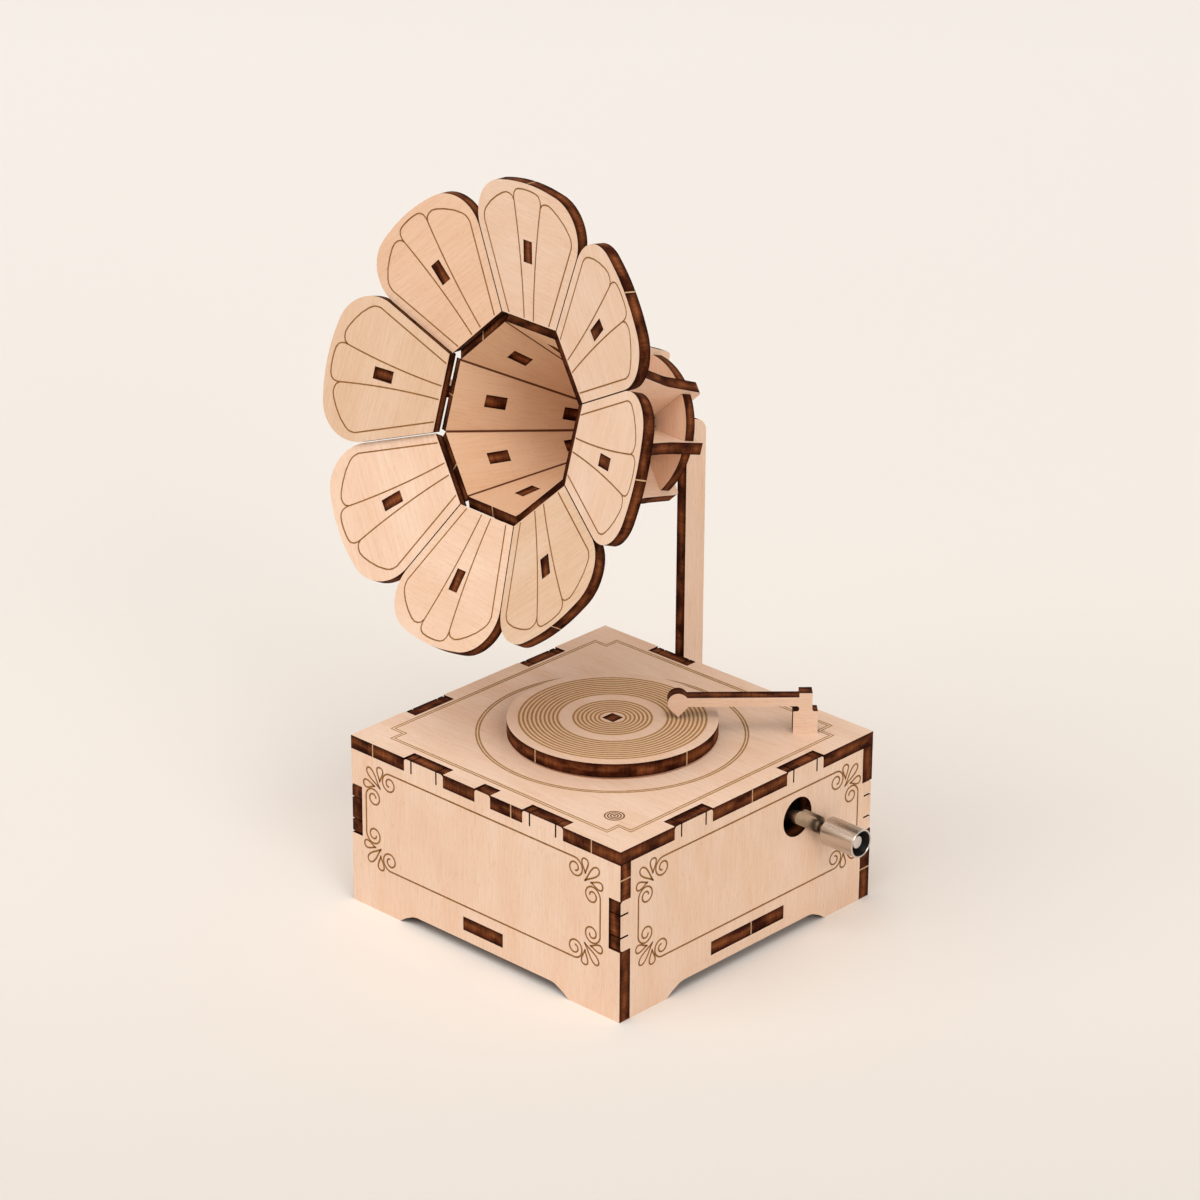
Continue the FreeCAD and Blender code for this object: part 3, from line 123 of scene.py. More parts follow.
def add(tree, kind, inputs=None, stops=None, **settings):
    """Add a node: its settings, its inputs as values or incoming links, and a ramp's stops."""
    node = tree.nodes.new(kind)
    for name, value in settings.items():
        setattr(node, name, value)
    for name, value in (inputs or {}).items():
        if isinstance(value, bpy.types.NodeSocket):
            tree.links.new(value, node.inputs[name])
        else:
            node.inputs[name].default_value = value
    for i, (position, colour) in enumerate(stops or ()):
        elements = node.color_ramp.elements
        element = elements[i] if i < 2 else elements.new(position)
        element.position = position
        element.color = linear(colour)
    return node


def sheet_matrix(origin, x_axis, y_axis):
    """Place of a sheet: its outline lies in x and y, its thickness along z."""
    x_axis, y_axis = Vector(x_axis).normalized(), Vector(y_axis).normalized()
    turned = Matrix((x_axis, y_axis, x_axis.cross(y_axis))).transposed().to_4x4()
    return Matrix.Translation(Vector(origin) * MM) @ turned


def horn_directions():
    forward = Vector((math.sin(HORN_TURN) * math.cos(HORN_TILT), -math.cos(HORN_TURN) * math.cos(HORN_TILT),
                      math.sin(HORN_TILT)))
    level = Vector((math.cos(HORN_TURN), math.sin(HORN_TURN), 0))
    upright = forward.cross(level)
    right = level * math.cos(HORN_ROLL) - upright * math.sin(HORN_ROLL)
    up = level * math.sin(HORN_ROLL) + upright * math.cos(HORN_ROLL)
    return forward, right, up


FORWARD, RIGHT, UP = horn_directions()
DISC_CENTRE = DISC_MIDDLE + FORWARD * (HORN_SHEET / 2)
HORN_PLACE = sheet_matrix(DISC_CENTRE, RIGHT, UP)      # z runs forward along the horn's axis


# ---- materials -----------------------------------------------------------
def empty_material(name):
    material = bpy.data.materials.new(name)
    material.use_nodes = True
    material.node_tree.nodes.clear()
    return material, material.node_tree


def birch_plywood(name, place, low, high, fibre_turn=0.0, seed=0.0, seams=False, tone=NO_TINT):
    """Laser cut birch plywood: a pale, finely flecked face and edges burnt red brown by the laser.

    place turns the sheet flat, low and high are its faces along its thickness in mm, and
    fibre_turn is the direction of the face's fibres. With seams, a throat panel's face is
    scorched along the two edges that meet its neighbours. tone tints its face."""
    material, tree = empty_material(name)
    coordinates = add(tree, "ShaderNodeTexCoord")
    turned = place.to_3x3()
    flat = add(tree, "ShaderNodeMapping", {
        "Vector": coordinates.outputs["Object"], "Location": place.translation,
        "Rotation": turned.to_euler(), "Scale": (MM, MM, MM)}, vector_type="TEXTURE")
    facing = add(tree, "ShaderNodeMapping", {
        "Vector": coordinates.outputs["Normal"], "Rotation": turned.transposed().to_euler()},
        vector_type="VECTOR")
    facing_parts = add(tree, "ShaderNodeSeparateXYZ", {0: facing.outputs[0]})
    across_sheet = add(tree, "ShaderNodeMath", {0: facing_parts.outputs["Z"]}, operation="ABSOLUTE")
    is_face = add(tree, "ShaderNodeMath", {0: across_sheet.outputs[0], 1: 0.7}, operation="GREATER_THAN")

    # Face: fibres about 0.35 mm wide and 8 mm long, flecks a little finer, and soft cloudy patches.
    fibres = add(tree, "ShaderNodeMapping", {
        "Vector": flat.outputs[0], "Location": (seed, seed * 1.7, seed), "Rotation": (0, 0, fibre_turn),
        "Scale": (8.0, 0.35, 4.0)}, vector_type="TEXTURE")
    fibre_noise = add(tree, "ShaderNodeTexNoise", {
        "Vector": fibres.outputs[0], "Scale": 1.0, "Detail": 3.0, "Roughness": 0.6})
    flecks = add(tree, "ShaderNodeMapping", {
        "Vector": flat.outputs[0], "Location": (seed * 2.3, seed, 0), "Rotation": (0, 0, fibre_turn),
        "Scale": (1.6, 0.22, 4.0)}, vector_type="TEXTURE")
    fleck_noise = add(tree, "ShaderNodeTexNoise", {"Vector": flecks.outputs[0], "Scale": 1.0, "Detail": 1.0})
    clouds = add(tree, "ShaderNodeMapping", {
        "Vector": flat.outputs[0], "Location": (seed * 3.1, seed, 0), "Rotation": (0, 0, fibre_turn),
        "Scale": (26.0, 9.0, 20.0)}, vector_type="TEXTURE")
    cloud_noise = add(tree, "ShaderNodeTexNoise", {"Vector": clouds.outputs[0], "Scale": 1.0, "Detail": 2.0})
    face = add(tree, "ShaderNodeValToRGB", {0: cloud_noise.outputs[0]}, stops=[
        (0.3, "#EECBB0"), (0.7, "#F4D7C1")])
    fibre_tone = add(tree, "ShaderNodeValToRGB", {0: fibre_noise.outputs[0]}, stops=[
        (0.25, "#F6EEE6"), (0.65, "#FFFFFF")])
    fleck_tone = add(tree, "ShaderNodeValToRGB", {0: fleck_noise.outputs[0]}, stops=[
        (0.24, "#F5EBE0"), (0.4, "#FFFFFF")])
    grained = add(tree, "ShaderNodeMix", {
        0: 1.0, 6: face.outputs[0], 7: fibre_tone.outputs[0]}, data_type="RGBA", blend_type="MULTIPLY")
    flecked = add(tree, "ShaderNodeMix", {
        0: 1.0, 6: grained.outputs[2], 7: fleck_tone.outputs[0]}, data_type="RGBA", blend_type="MULTIPLY")
    face_colour = add(tree, "ShaderNodeMix", {
        0: 1.0, 6: flecked.outputs[2], 7: linear(tone)}, data_type="RGBA", blend_type="MULTIPLY")
    flat_parts = add(tree, "ShaderNodeSeparateXYZ", {0: flat.outputs[0]})
    if seams:
        face_colour = scorch_along_seams(tree, flat_parts, face_colour)

    # Cut edge: darkest beside the two faces, with striae across the thickness and smoky patches.
    depth = add(tree, "ShaderNodeMapRange", {
        "Value": flat_parts.outputs["Z"], "From Min": low, "From Max": high})
    striae = add(tree, "ShaderNodeMapping", {
        "Vector": flat.outputs[0], "Location": (seed, 0, 0), "Scale": (0.3, 0.3, 7.0)}, vector_type="TEXTURE")
    stria_noise = add(tree, "ShaderNodeTexNoise", {"Vector": striae.outputs[0], "Scale": 1.0, "Detail": 2.0})
    smoke = add(tree, "ShaderNodeMapping", {
        "Vector": flat.outputs[0], "Location": (seed, seed, seed), "Scale": (5.0, 5.0, 2.5)},
        vector_type="TEXTURE")
    smoke_noise = add(tree, "ShaderNodeTexNoise", {"Vector": smoke.outputs[0], "Scale": 1.0, "Detail": 3.0})
    burn = add(tree, "ShaderNodeValToRGB", {0: depth.outputs[0]}, stops=[
        (0.0, "#2C1208"), (0.14, "#663018"), (0.5, "#935630"), (0.86, "#622E17"), (1.0, "#281007")])
    stria_tone = add(tree, "ShaderNodeValToRGB", {0: stria_noise.outputs[0]}, stops=[
        (0.3, "#C4BBB5"), (0.7, "#FFFFFF")])
    smoke_tone = add(tree, "ShaderNodeValToRGB", {0: smoke_noise.outputs[0]}, stops=[
        (0.36, "#836A5C"), (0.6, "#FFFFFF")])
    striated = add(tree, "ShaderNodeMix", {
        0: 1.0, 6: burn.outputs[0], 7: stria_tone.outputs[0]}, data_type="RGBA", blend_type="MULTIPLY")
    edge_colour = add(tree, "ShaderNodeMix", {
        0: 1.0, 6: striated.outputs[2], 7: smoke_tone.outputs[0]}, data_type="RGBA", blend_type="MULTIPLY")

    colour = add(tree, "ShaderNodeMix", {
        0: is_face.outputs[0], 6: edge_colour.outputs[2], 7: face_colour.outputs[2]}, data_type="RGBA")
    relief = add(tree, "ShaderNodeMix", {
        0: is_face.outputs[0], 2: stria_noise.outputs[0], 3: fibre_noise.outputs[0]}, data_type="FLOAT")
    bump = add(tree, "ShaderNodeBump", {"Strength": 0.25, "Distance": 0.04 * MM, "Height": relief.outputs[0]})
    roughness = add(tree, "ShaderNodeMapRange", {
        "Value": is_face.outputs[0], "To Min": 0.8, "To Max": 0.6})
    shine = add(tree, "ShaderNodeMapRange", {
        "Value": is_face.outputs[0], "To Min": 0.06, "To Max": 0.22})
    shader = add(tree, "ShaderNodeBsdfPrincipled", {
        "Base Color": colour.outputs[2], "Roughness": roughness.outputs[0], "Normal": bump.outputs[0],
        "Specular IOR Level": shine.outputs[0]})
    add(tree, "ShaderNodeOutputMaterial", {"Surface": shader.outputs[0]})
    return material


def scorch_along_seams(tree, flat_parts, face_colour):
    """Dark line along the slanted sides of a throat panel, whose length is x and width is y."""
    side_slope = math.tan(math.pi / HORN_SIDES)
    half_width = add(tree, "ShaderNodeMath", {
        0: flat_parts.outputs["X"], 1: -math.sin(CONE) * side_slope, 2: MOUTH_INNER * side_slope},
        operation="MULTIPLY_ADD")
    from_middle = add(tree, "ShaderNodeMath", {0: flat_parts.outputs["Y"]}, operation="ABSOLUTE")
    from_seam = add(tree, "ShaderNodeMath", {0: half_width.outputs[0], 1: from_middle.outputs[0]},
                    operation="SUBTRACT")
    scorch = add(tree, "ShaderNodeValToRGB", {0: from_seam.outputs[0]}, stops=[
        (0.0, "#4A2A18"), (0.2, "#7A4C2E"), (0.34, "#EFE5D6")])
    return add(tree, "ShaderNodeMix", {
        0: 1.0, 6: face_colour.outputs[2], 7: scorch.outputs[0]}, data_type="RGBA", blend_type="MULTIPLY")


def plain_material(name, colours, grain, roughness, metallic=0.0, specular=0.5, bump_depth=0.0):
    """Finish with two close colours that a fine noise mixes; grain is the noise's size in mm."""
    material, tree = empty_material(name)
    coordinates = add(tree, "ShaderNodeTexCoord")
    scaled = add(tree, "ShaderNodeMapping", {
        "Vector": coordinates.outputs["Object"], "Scale": [size * MM for size in grain]},
        vector_type="TEXTURE")
    noise = add(tree, "ShaderNodeTexNoise", {"Vector": scaled.outputs[0], "Scale": 1.0, "Detail": 3.0})
    colour = add(tree, "ShaderNodeValToRGB", {0: noise.outputs[0]}, stops=[
        (0.3, colours[0]), (0.7, colours[1])])
    dull = add(tree, "ShaderNodeMapRange", {
        "Value": noise.outputs[0], "From Min": 0.3, "From Max": 0.7,
        "To Min": roughness[0], "To Max": roughness[1]})
    bump = add(tree, "ShaderNodeBump", {
        "Strength": 0.3, "Distance": bump_depth * MM, "Height": noise.outputs[0]})
    shader = add(tree, "ShaderNodeBsdfPrincipled", {
        "Base Color": colour.outputs[0], "Roughness": dull.outputs[0], "Metallic": metallic,
        "Specular IOR Level": specular, "Normal": bump.outputs[0]})
    add(tree, "ShaderNodeOutputMaterial", {"Surface": shader.outputs[0]})
    return material


def dress(node, material):
    """Give a CAD node its material through its object's slots."""
    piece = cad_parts[node]
    if not piece.material_slots:
        piece.data.materials.append(None)
    for material_slot in piece.material_slots:
        material_slot.link = "OBJECT"
        material_slot.material = material


def dress_box():
    x_axis, y_axis, z_axis = (1, 0, 0), (0, 1, 0), (0, 0, 1)
    sheet = BOX_SHEET
    upright = math.pi / 2
    fronts = {"front_panel": sheet - HALF_DEPTH, "back_panel": HALF_DEPTH}
    for seed, (node, y) in enumerate(fronts.items()):
        place = sheet_matrix((0, y, 0), x_axis, z_axis)
        dress(node, birch_plywood("birch_plywood_" + node, place, 0, sheet, upright, 3.1 + seed))
    sides = {"left_panel": -HALF_WIDTH, "right_panel": HALF_WIDTH - sheet}
    for seed, (node, x) in enumerate(sides.items()):
        place = sheet_matrix((x, 0, 0), y_axis, z_axis)
        dress(node, birch_plywood("birch_plywood_" + node, place, 0, sheet, upright, 5.7 + seed))
    for seed, node in enumerate(("deck", "bottom_board", "record", "record_washer")):
        low, high = (Vector(corner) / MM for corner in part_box(node))
        place = sheet_matrix((0, 0, 0), x_axis, y_axis)
        dress(node, birch_plywood("birch_plywood_" + node, place, low.z, high.z, 0.0, 8.3 + seed))
    peg = sheet_matrix((0, 0, 0), y_axis, z_axis)
    low, high = (Vector(corner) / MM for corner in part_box("record_spindle"))
    dress("record_spindle", birch_plywood("birch_plywood_peg", peg, low.x, high.x, 0.0, 1.3))
    arm = sheet_matrix((0, 0, DECK_TOP), (1, 1, 0), z_axis)
    dress("tonearm", birch_plywood("birch_plywood_tonearm", arm, *TONEARM_FACES, 0.0, 2.2))
    post_low = Vector(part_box("horn_post")[0]) / MM
    post = sheet_matrix((post_low.x, 0, 0), y_axis, z_axis)
    dress("horn_post", birch_plywood("birch_plywood_post", post, 0, HORN_SHEET, upright, 4.6))


def side_outward(number):
    """Direction from the horn's axis to the middle of a side; side 0 is the top one."""
    angle = 2 * math.pi * number / HORN_SIDES
    return UP * math.cos(angle) + RIGHT * math.sin(angle)


def petal_frame(number):
    """Middle of a petal's inner edge, and the directions across it, up its slope and through it."""
    outward = side_outward(number)
    edge = DISC_CENTRE + FORWARD * (THROAT_LENGTH + PETAL_LEAD) + outward * PETAL_START
    across = FORWARD.cross(outward)
    slope = outward * math.cos(PETAL_LEAN) + FORWARD * math.sin(PETAL_LEAN)
    through = across.cross(slope)
    if number + 1 == PROUD_PETAL:
        edge -= through * PROUD_PETAL_LIFT
    return edge, across, slope, through


def throat_frame(number):
    """Middle of a throat panel's mouth edge, and the directions along it, across it and through it."""
    outward = side_outward(number)
    edge = DISC_CENTRE + FORWARD * THROAT_LENGTH + outward * MOUTH_INNER
    inward = FORWARD * -math.cos(CONE) - outward * math.sin(CONE)
    across = FORWARD.cross(outward)
    return edge, inward, across, inward.cross(across)


def dress_horn():
    disc = sheet_matrix(DISC_CENTRE, UP, FORWARD.cross(UP))
    dress("horn_rear_disc", birch_plywood("birch_plywood_rear_disc", disc, -HORN_SHEET, 0, 0.4, 6.1))
    for number in range(HORN_SIDES):
        label, seed = str(number + 1), 1.9 * number
        petal = sheet_matrix(*petal_frame(number)[:3])
        tone = PETAL_TONES.get(number + 1, NO_TINT)
        dress("horn_petal_" + label,
              birch_plywood("birch_plywood_petal_" + label, petal, 0, HORN_SHEET, 0.06, seed, tone=tone))
        throat = sheet_matrix(*throat_frame(number)[:3])
        panel = birch_plywood(
            "birch_plywood_panel_" + label, throat, 0, HORN_SHEET, 0.0, seed + 0.7, seams=True)
        dress("horn_panel_" + label, panel)
        fin = sheet_matrix(DISC_CENTRE, FORWARD, side_outward(number))
        half_sheet = HORN_SHEET / 2
        dress("horn_rib_" + label,
              birch_plywood("birch_plywood_rib_" + label, fin, -half_sheet, half_sheet, 0.0, seed + 1.1))


def dress_metal():
    # Nickel plate with a soft, warm brown colour: painted reflection of the wood and painted shade along the
    # arm.
    nickel = plain_material("nickel_plated_steel_painted_reflection", ("#B29C86", "#BFAA95"), (5.0, 0.6, 0.6),
                            (0.28, 0.32), metallic=1.0)
    for node in ("crank_shaft", "crank_arm"):
        dress(node, nickel)
    # Nickel plate on the rivet's flat end: a pale disc in the knob's dark inside.
    bright_nickel = plain_material("nickel_plated_steel_pin", ("#DAD1CA", "#E4DCD6"), (1.0, 1.0, 1.0),
                                   (0.3, 0.36), metallic=1.0)
    dress("knob_pin", bright_nickel)
    dress("crank_knob", nickel_knob())
    # Tumbled zinc casting: grey, with a broad dull gleam.
    zinc = plain_material("zinc_die_casting_tumbled", ("#8E8F92", "#A3A4A6"), (1.2, 1.2, 1.2),
                          (0.42, 0.55), metallic=1.0, bump_depth=0.02)
    # Ground spring steel: grey, with fine lines along its length.
    steel = plain_material("spring_steel_ground", ("#9B9C9E", "#B4B5B6"), (6.0, 0.15, 0.6),
                           (0.28, 0.4), metallic=1.0, bump_depth=0.004)
    # Zinc plated screws: a little brighter and greener than the steel.
    screw_steel = plain_material("screw_steel_zinc_plated", ("#A9AAA6", "#C3C3BE"), (0.6, 0.6, 0.6),
                                 (0.25, 0.38), metallic=1.0, bump_depth=0.004)
    # Turned brass: a satin yellow gleam round the cylinder.
    brass = plain_material("brass_turned_satin", ("#B8904A", "#CDA860"), (0.3, 6.0, 0.3),
                           (0.26, 0.38), metallic=1.0, bump_depth=0.003)
    # Moulded acetal: off-white and waxy.
    acetal = plain_material("acetal_plastic_moulded", ("#E6E2D8", "#EFECE4"), (1.5, 1.5, 1.5),
                            (0.38, 0.48), specular=0.5, bump_depth=0.006)
    finishes = {
        "bedplate": zinc, "comb": steel, "cylinder_arbor": steel, "front_bearing": steel,
        "back_bearing": steel, "comb_screws": screw_steel, "bearing_screws": screw_steel,
        "movement_screws": screw_steel, "cylinder": brass, "cylinder_plugs": brass,
        "cylinder_gear": acetal, "worm": acetal,
    }
    for node, finish in finishes.items():
        dress(node, finish)


def nickel_knob():
    """Knob drawn from sheet: bright nickel outside with long highlights, and an inside painted black as
    painted shade.
    """
    material, tree = empty_material("nickel_plated_steel_knob_painted_shade_inside")
    low, high = (Vector(corner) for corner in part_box("crank_knob"))
    middle = (low + high) / 2
    radius = (high.y - low.y) / 2
    coordinates = add(tree, "ShaderNodeTexCoord")
    centred = add(tree, "ShaderNodeMapping", {
        "Vector": coordinates.outputs["Object"], "Location": (0, middle.y, middle.z)}, vector_type="TEXTURE")
    flattened = add(tree, "ShaderNodeVectorMath", {0: centred.outputs[0], 1: (0, 1, 1)}, operation="MULTIPLY")
    distance = add(tree, "ShaderNodeVectorMath", {0: flattened.outputs[0]}, operation="LENGTH")
    outside = add(tree, "ShaderNodeMath", {
        0: distance.outputs["Value"], 1: radius - KNOB_SKIN * MM}, operation="GREATER_THAN")
    scratches = add(tree, "ShaderNodeMapping", {
        "Vector": coordinates.outputs["Object"], "Scale": (4 * MM, 0.25 * MM, 0.25 * MM)},
        vector_type="TEXTURE")
    noise = add(tree, "ShaderNodeTexNoise", {"Vector": scratches.outputs[0], "Scale": 1.0, "Detail": 3.0})
    # Inside of the knob: nearly black, matt and not metal, which is painted shade in the hollow.
    colour = add(tree, "ShaderNodeMix", {
        0: outside.outputs[0], 6: linear("#0C0908"), 7: linear("#D2C8BE")}, data_type="RGBA")
    dull = add(tree, "ShaderNodeMapRange", {
        "Value": noise.outputs[0], "From Min": 0.3, "From Max": 0.7, "To Min": 0.22, "To Max": 0.27})
    roughness = add(tree, "ShaderNodeMix", {
        0: outside.outputs[0], 2: 0.7, 3: dull.outputs[0]}, data_type="FLOAT")
    around = add(tree, "ShaderNodeTangent", direction_type="RADIAL", axis="X")
    shader = add(tree, "ShaderNodeBsdfPrincipled", {
        "Base Color": colour.outputs[2], "Roughness": roughness.outputs[0], "Metallic": outside.outputs[0],
        "Anisotropic": 1.0, "Anisotropic Rotation": 0.25, "Tangent": around.outputs[0]})
    add(tree, "ShaderNodeOutputMaterial", {"Surface": shader.outputs[0]})
    return material


# ---- geometry nodes ------------------------------------------------------
def new_tree(name, sizes):
    """Geometry tree with named inputs; sizes maps an input's name to its socket type."""
    tree = bpy.data.node_groups.new(name, "GeometryNodeTree")
    tree.interface.new_socket("Geometry", in_out="INPUT", socket_type="NodeSocketGeometry")
    for label, kind in sizes.items():
        tree.interface.new_socket(label, in_out="INPUT", socket_type=kind)
    tree.interface.new_socket("Geometry", in_out="OUTPUT", socket_type="NodeSocketGeometry")
    return tree, add(tree, "NodeGroupInput")


def sweep_strip(tree, group, curves):
    """Flat strip swept along the curves."""
    level = add(tree, "GeometryNodeSetCurveNormal", {"Curve": curves}, mode="Z_UP")
    strip = add(tree, "GeometryNodeCurvePrimitiveQuadrilateral", {
        "Width": group.outputs["Line Width"], "Height": group.outputs["Line Thickness"]})
    swept = add(tree, "GeometryNodeCurveToMesh", {
        "Curve": level.outputs[0], "Profile Curve": strip.outputs[0], "Fill Caps": True})
    return swept.outputs[0]


def finish_tree(tree, group, geometry):
    """End of a tree: realize the geometry, shade it flat and set its material."""
    realized = add(tree, "GeometryNodeRealizeInstances", {"Geometry": geometry})
    flat = add(tree, "GeometryNodeSetShadeSmooth", {"Geometry": realized.outputs[0], "Shade Smooth": False})
    finished = add(tree, "GeometryNodeSetMaterial", {
        "Geometry": flat.outputs[0], "Material": group.outputs["Finish"]})
    add(tree, "NodeGroupOutput", {0: finished.outputs[0]})
    return tree


LINE_INPUTS = {
    "Line Width": "NodeSocketFloat", "Line Thickness": "NodeSocketFloat", "Finish": "NodeSocketMaterial"}


def ring_tree():
    """Concentric engraved rings."""
    tree, group = new_tree("concentric_rings", {
        "Ring Count": "NodeSocketInt", "First Radius": "NodeSocketFloat", "Ring Pitch": "NodeSocketFloat",
        **LINE_INPUTS})
    places = add(tree, "GeometryNodeMeshLine", {"Count": group.outputs["Ring Count"], "Offset": (0, 0, 0)})
    index = add(tree, "GeometryNodeInputIndex")
    step = add(tree, "ShaderNodeMath", {
        0: index.outputs[0], 1: group.outputs["Ring Pitch"], 2: group.outputs["First Radius"]},
        operation="MULTIPLY_ADD")
    circle = add(tree, "GeometryNodeCurvePrimitiveCircle", {"Resolution": RING_FACETS, "Radius": 1.0})
    rings = add(tree, "GeometryNodeInstanceOnPoints", {
        "Points": places.outputs[0], "Instance": circle.outputs[0], "Scale": step.outputs[0]})
    curves = add(tree, "GeometryNodeRealizeInstances", {"Geometry": rings.outputs[0]})
    return finish_tree(tree, group, sweep_strip(tree, group, curves.outputs[0]))


def corner_tree():
    """One corner's lines, mirrored into the four corners of a rectangle."""
    tree, group = new_tree("mirrored_corners", {
        "Half Width": "NodeSocketFloat", "Half Height": "NodeSocketFloat", **LINE_INPUTS})
    width = add(tree, "ShaderNodeMath", {0: group.outputs["Half Width"], 1: 2.0}, operation="MULTIPLY")
    height = add(tree, "ShaderNodeMath", {0: group.outputs["Half Height"], 1: 2.0}, operation="MULTIPLY")
    corners = add(tree, "GeometryNodeMeshGrid", {
        "Size X": width.outputs[0], "Size Y": height.outputs[0], "Vertices X": 2, "Vertices Y": 2})
    position = add(tree, "GeometryNodeInputPosition")
    signs = add(tree, "ShaderNodeVectorMath", {0: position.outputs[0]}, operation="SIGN")
    mirror = add(tree, "ShaderNodeVectorMath", {0: signs.outputs[0], 1: (0, 0, 1)}, operation="ADD")
    copies = add(tree, "GeometryNodeInstanceOnPoints", {
        "Points": corners.outputs[0], "Instance": group.outputs["Geometry"], "Scale": mirror.outputs[0]})
    curves = add(tree, "GeometryNodeRealizeInstances", {"Geometry": copies.outputs[0]})
    return finish_tree(tree, group, sweep_strip(tree, group, curves.outputs[0]))


def petal_tree():
    """One petal's lines, leaned and set out from the axis, and repeated round it."""
    tree, group = new_tree("petals_round_an_axis", {
        "Sides": "NodeSocketInt", "Petal Place": "NodeSocketVector", "Petal Turn": "NodeSocketRotation",
        "Proud Petal": "NodeSocketInt", "Lift": "NodeSocketVector", **LINE_INPUTS})
    swept = sweep_strip(tree, group, group.outputs["Geometry"])
    placed = add(tree, "GeometryNodeTransform", {
        "Geometry": swept, "Translation": group.outputs["Petal Place"],
        "Rotation": group.outputs["Petal Turn"]})
    places = add(tree, "GeometryNodeMeshLine", {"Count": group.outputs["Sides"], "Offset": (0, 0, 0)})
    index = add(tree, "GeometryNodeInputIndex")
    share = add(tree, "ShaderNodeMath", {0: -2 * math.pi, 1: group.outputs["Sides"]}, operation="DIVIDE")
    angle = add(tree, "ShaderNodeMath", {0: index.outputs[0], 1: share.outputs[0]}, operation="MULTIPLY")
    turn = add(tree, "ShaderNodeCombineXYZ", {"Z": angle.outputs[0]})
    turned = add(tree, "FunctionNodeEulerToRotation", {0: turn.outputs[0]})
    copies = add(tree, "GeometryNodeInstanceOnPoints", {
        "Points": places.outputs[0], "Instance": placed.outputs[0], "Rotation": turned.outputs[0]})
    is_proud = add(tree, "FunctionNodeCompare", {
        2: index.outputs[0], 3: group.outputs["Proud Petal"]}, data_type="INT", operation="EQUAL")
    lifted = add(tree, "GeometryNodeTranslateInstances", {
        "Instances": copies.outputs[0], "Selection": is_proud.outputs[0],
        "Translation": group.outputs["Lift"], "Local Space": True})
    return finish_tree(tree, group, lifted.outputs[0])


def nick_tree():
    """Small strip of unburnt wood at each point, turned by the point's own attribute."""
    tree, group = new_tree("unburnt_nicks", {"Nick Size": "NodeSocketVector", "Finish": "NodeSocketMaterial"})
    strip = add(tree, "GeometryNodeMeshCube", {"Size": group.outputs["Nick Size"]})
    turn = add(tree, "GeometryNodeInputNamedAttribute", {"Name": "turn"}, data_type="FLOAT_VECTOR")
    turned = add(tree, "FunctionNodeEulerToRotation", {0: turn.outputs[0]})
    copies = add(tree, "GeometryNodeInstanceOnPoints", {
        "Points": group.outputs["Geometry"], "Instance": strip.outputs[0], "Rotation": turned.outputs[0]})
    return finish_tree(tree, group, copies.outputs[0])


def grow(name, source, tree, values, place, body):
    """Run a tree on the source data, keep the result as a plain mesh at its place, and ride it."""
    source_piece = bpy.data.objects.new(name + "_source", source)
    bpy.context.scene.collection.objects.link(source_piece)
    modifier = source_piece.modifiers.new("shape", "NODES")
    modifier.node_group = tree
    for item in tree.interface.items_tree:
        if item.in_out == "INPUT" and item.name in values:
            modifier[item.identifier] = values[item.name]
    bpy.context.view_layer.update()
    depsgraph = bpy.context.evaluated_depsgraph_get()
    mesh = bpy.data.meshes.new_from_object(source_piece.evaluated_get(depsgraph), depsgraph=depsgraph)
    bpy.data.objects.remove(source_piece)
    mesh.transform(place)
    mesh.name = name
    piece = bpy.data.objects.new(name, mesh)
    bpy.context.scene.collection.objects.link(piece)
    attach(piece, body)
    return piece


def line_curves(name, lines):
    """Curve data of straight-sided lines; a line is its points in mm and whether it closes."""
    curves = bpy.data.curves.new(name, "CURVE")
    curves.dimensions = "3D"
    for points, closed in lines:
        spline = curves.splines.new("POLY")
        spline.points.add(len(points) - 1)
        for spline_point, (x, y) in zip(spline.points, points):
            spline_point.co = (x * MM, y * MM, 0, 1)
        spline.use_cyclic_u = closed
    return curves


# ---- engraving -----------------------------------------------------------
def line_values(width, finish, rise=LINE_RISE):
    return {"Line Width": width * MM, "Line Thickness": 2 * rise * MM, "Finish": finish}


def engrave_rings(name, count_and_first, pitch, width, middle, level, body, finish, rise=LINE_RISE):
    count, first = count_and_first
    values = {"Ring Count": count, "First Radius": first * MM, "Ring Pitch": pitch * MM}
    values.update(line_values(width, finish, rise))
    place = Matrix.Translation(Vector((middle[0], middle[1], level)) * MM)
    empty_start = bpy.data.meshes.new(name + "_start")
    grow(name, empty_start, ring_tree(), values, place, body)


def engrave_record(finish, smoked):
    """Two zones of grooves, and the smoked wood between them."""
    level, middle = RECORD_HIGH.z, (0, 0)
    for zone, grooves in (("label", LABEL_GROOVES), ("music", MUSIC_GROOVES)):
        engrave_rings("record_%s_grooves" % zone, grooves, GROOVE_PITCH, GROOVE_WIDTH,
                      middle, level, "record", finish)
        span = (grooves[0] - 1) * GROOVE_PITCH
        engrave_rings("record_%s_smoke" % zone, (1, grooves[1] + span / 2), 0, span + 2 * SMOKE_MARGIN,
                      middle, level, "record", smoked, LINE_RISE / 2)


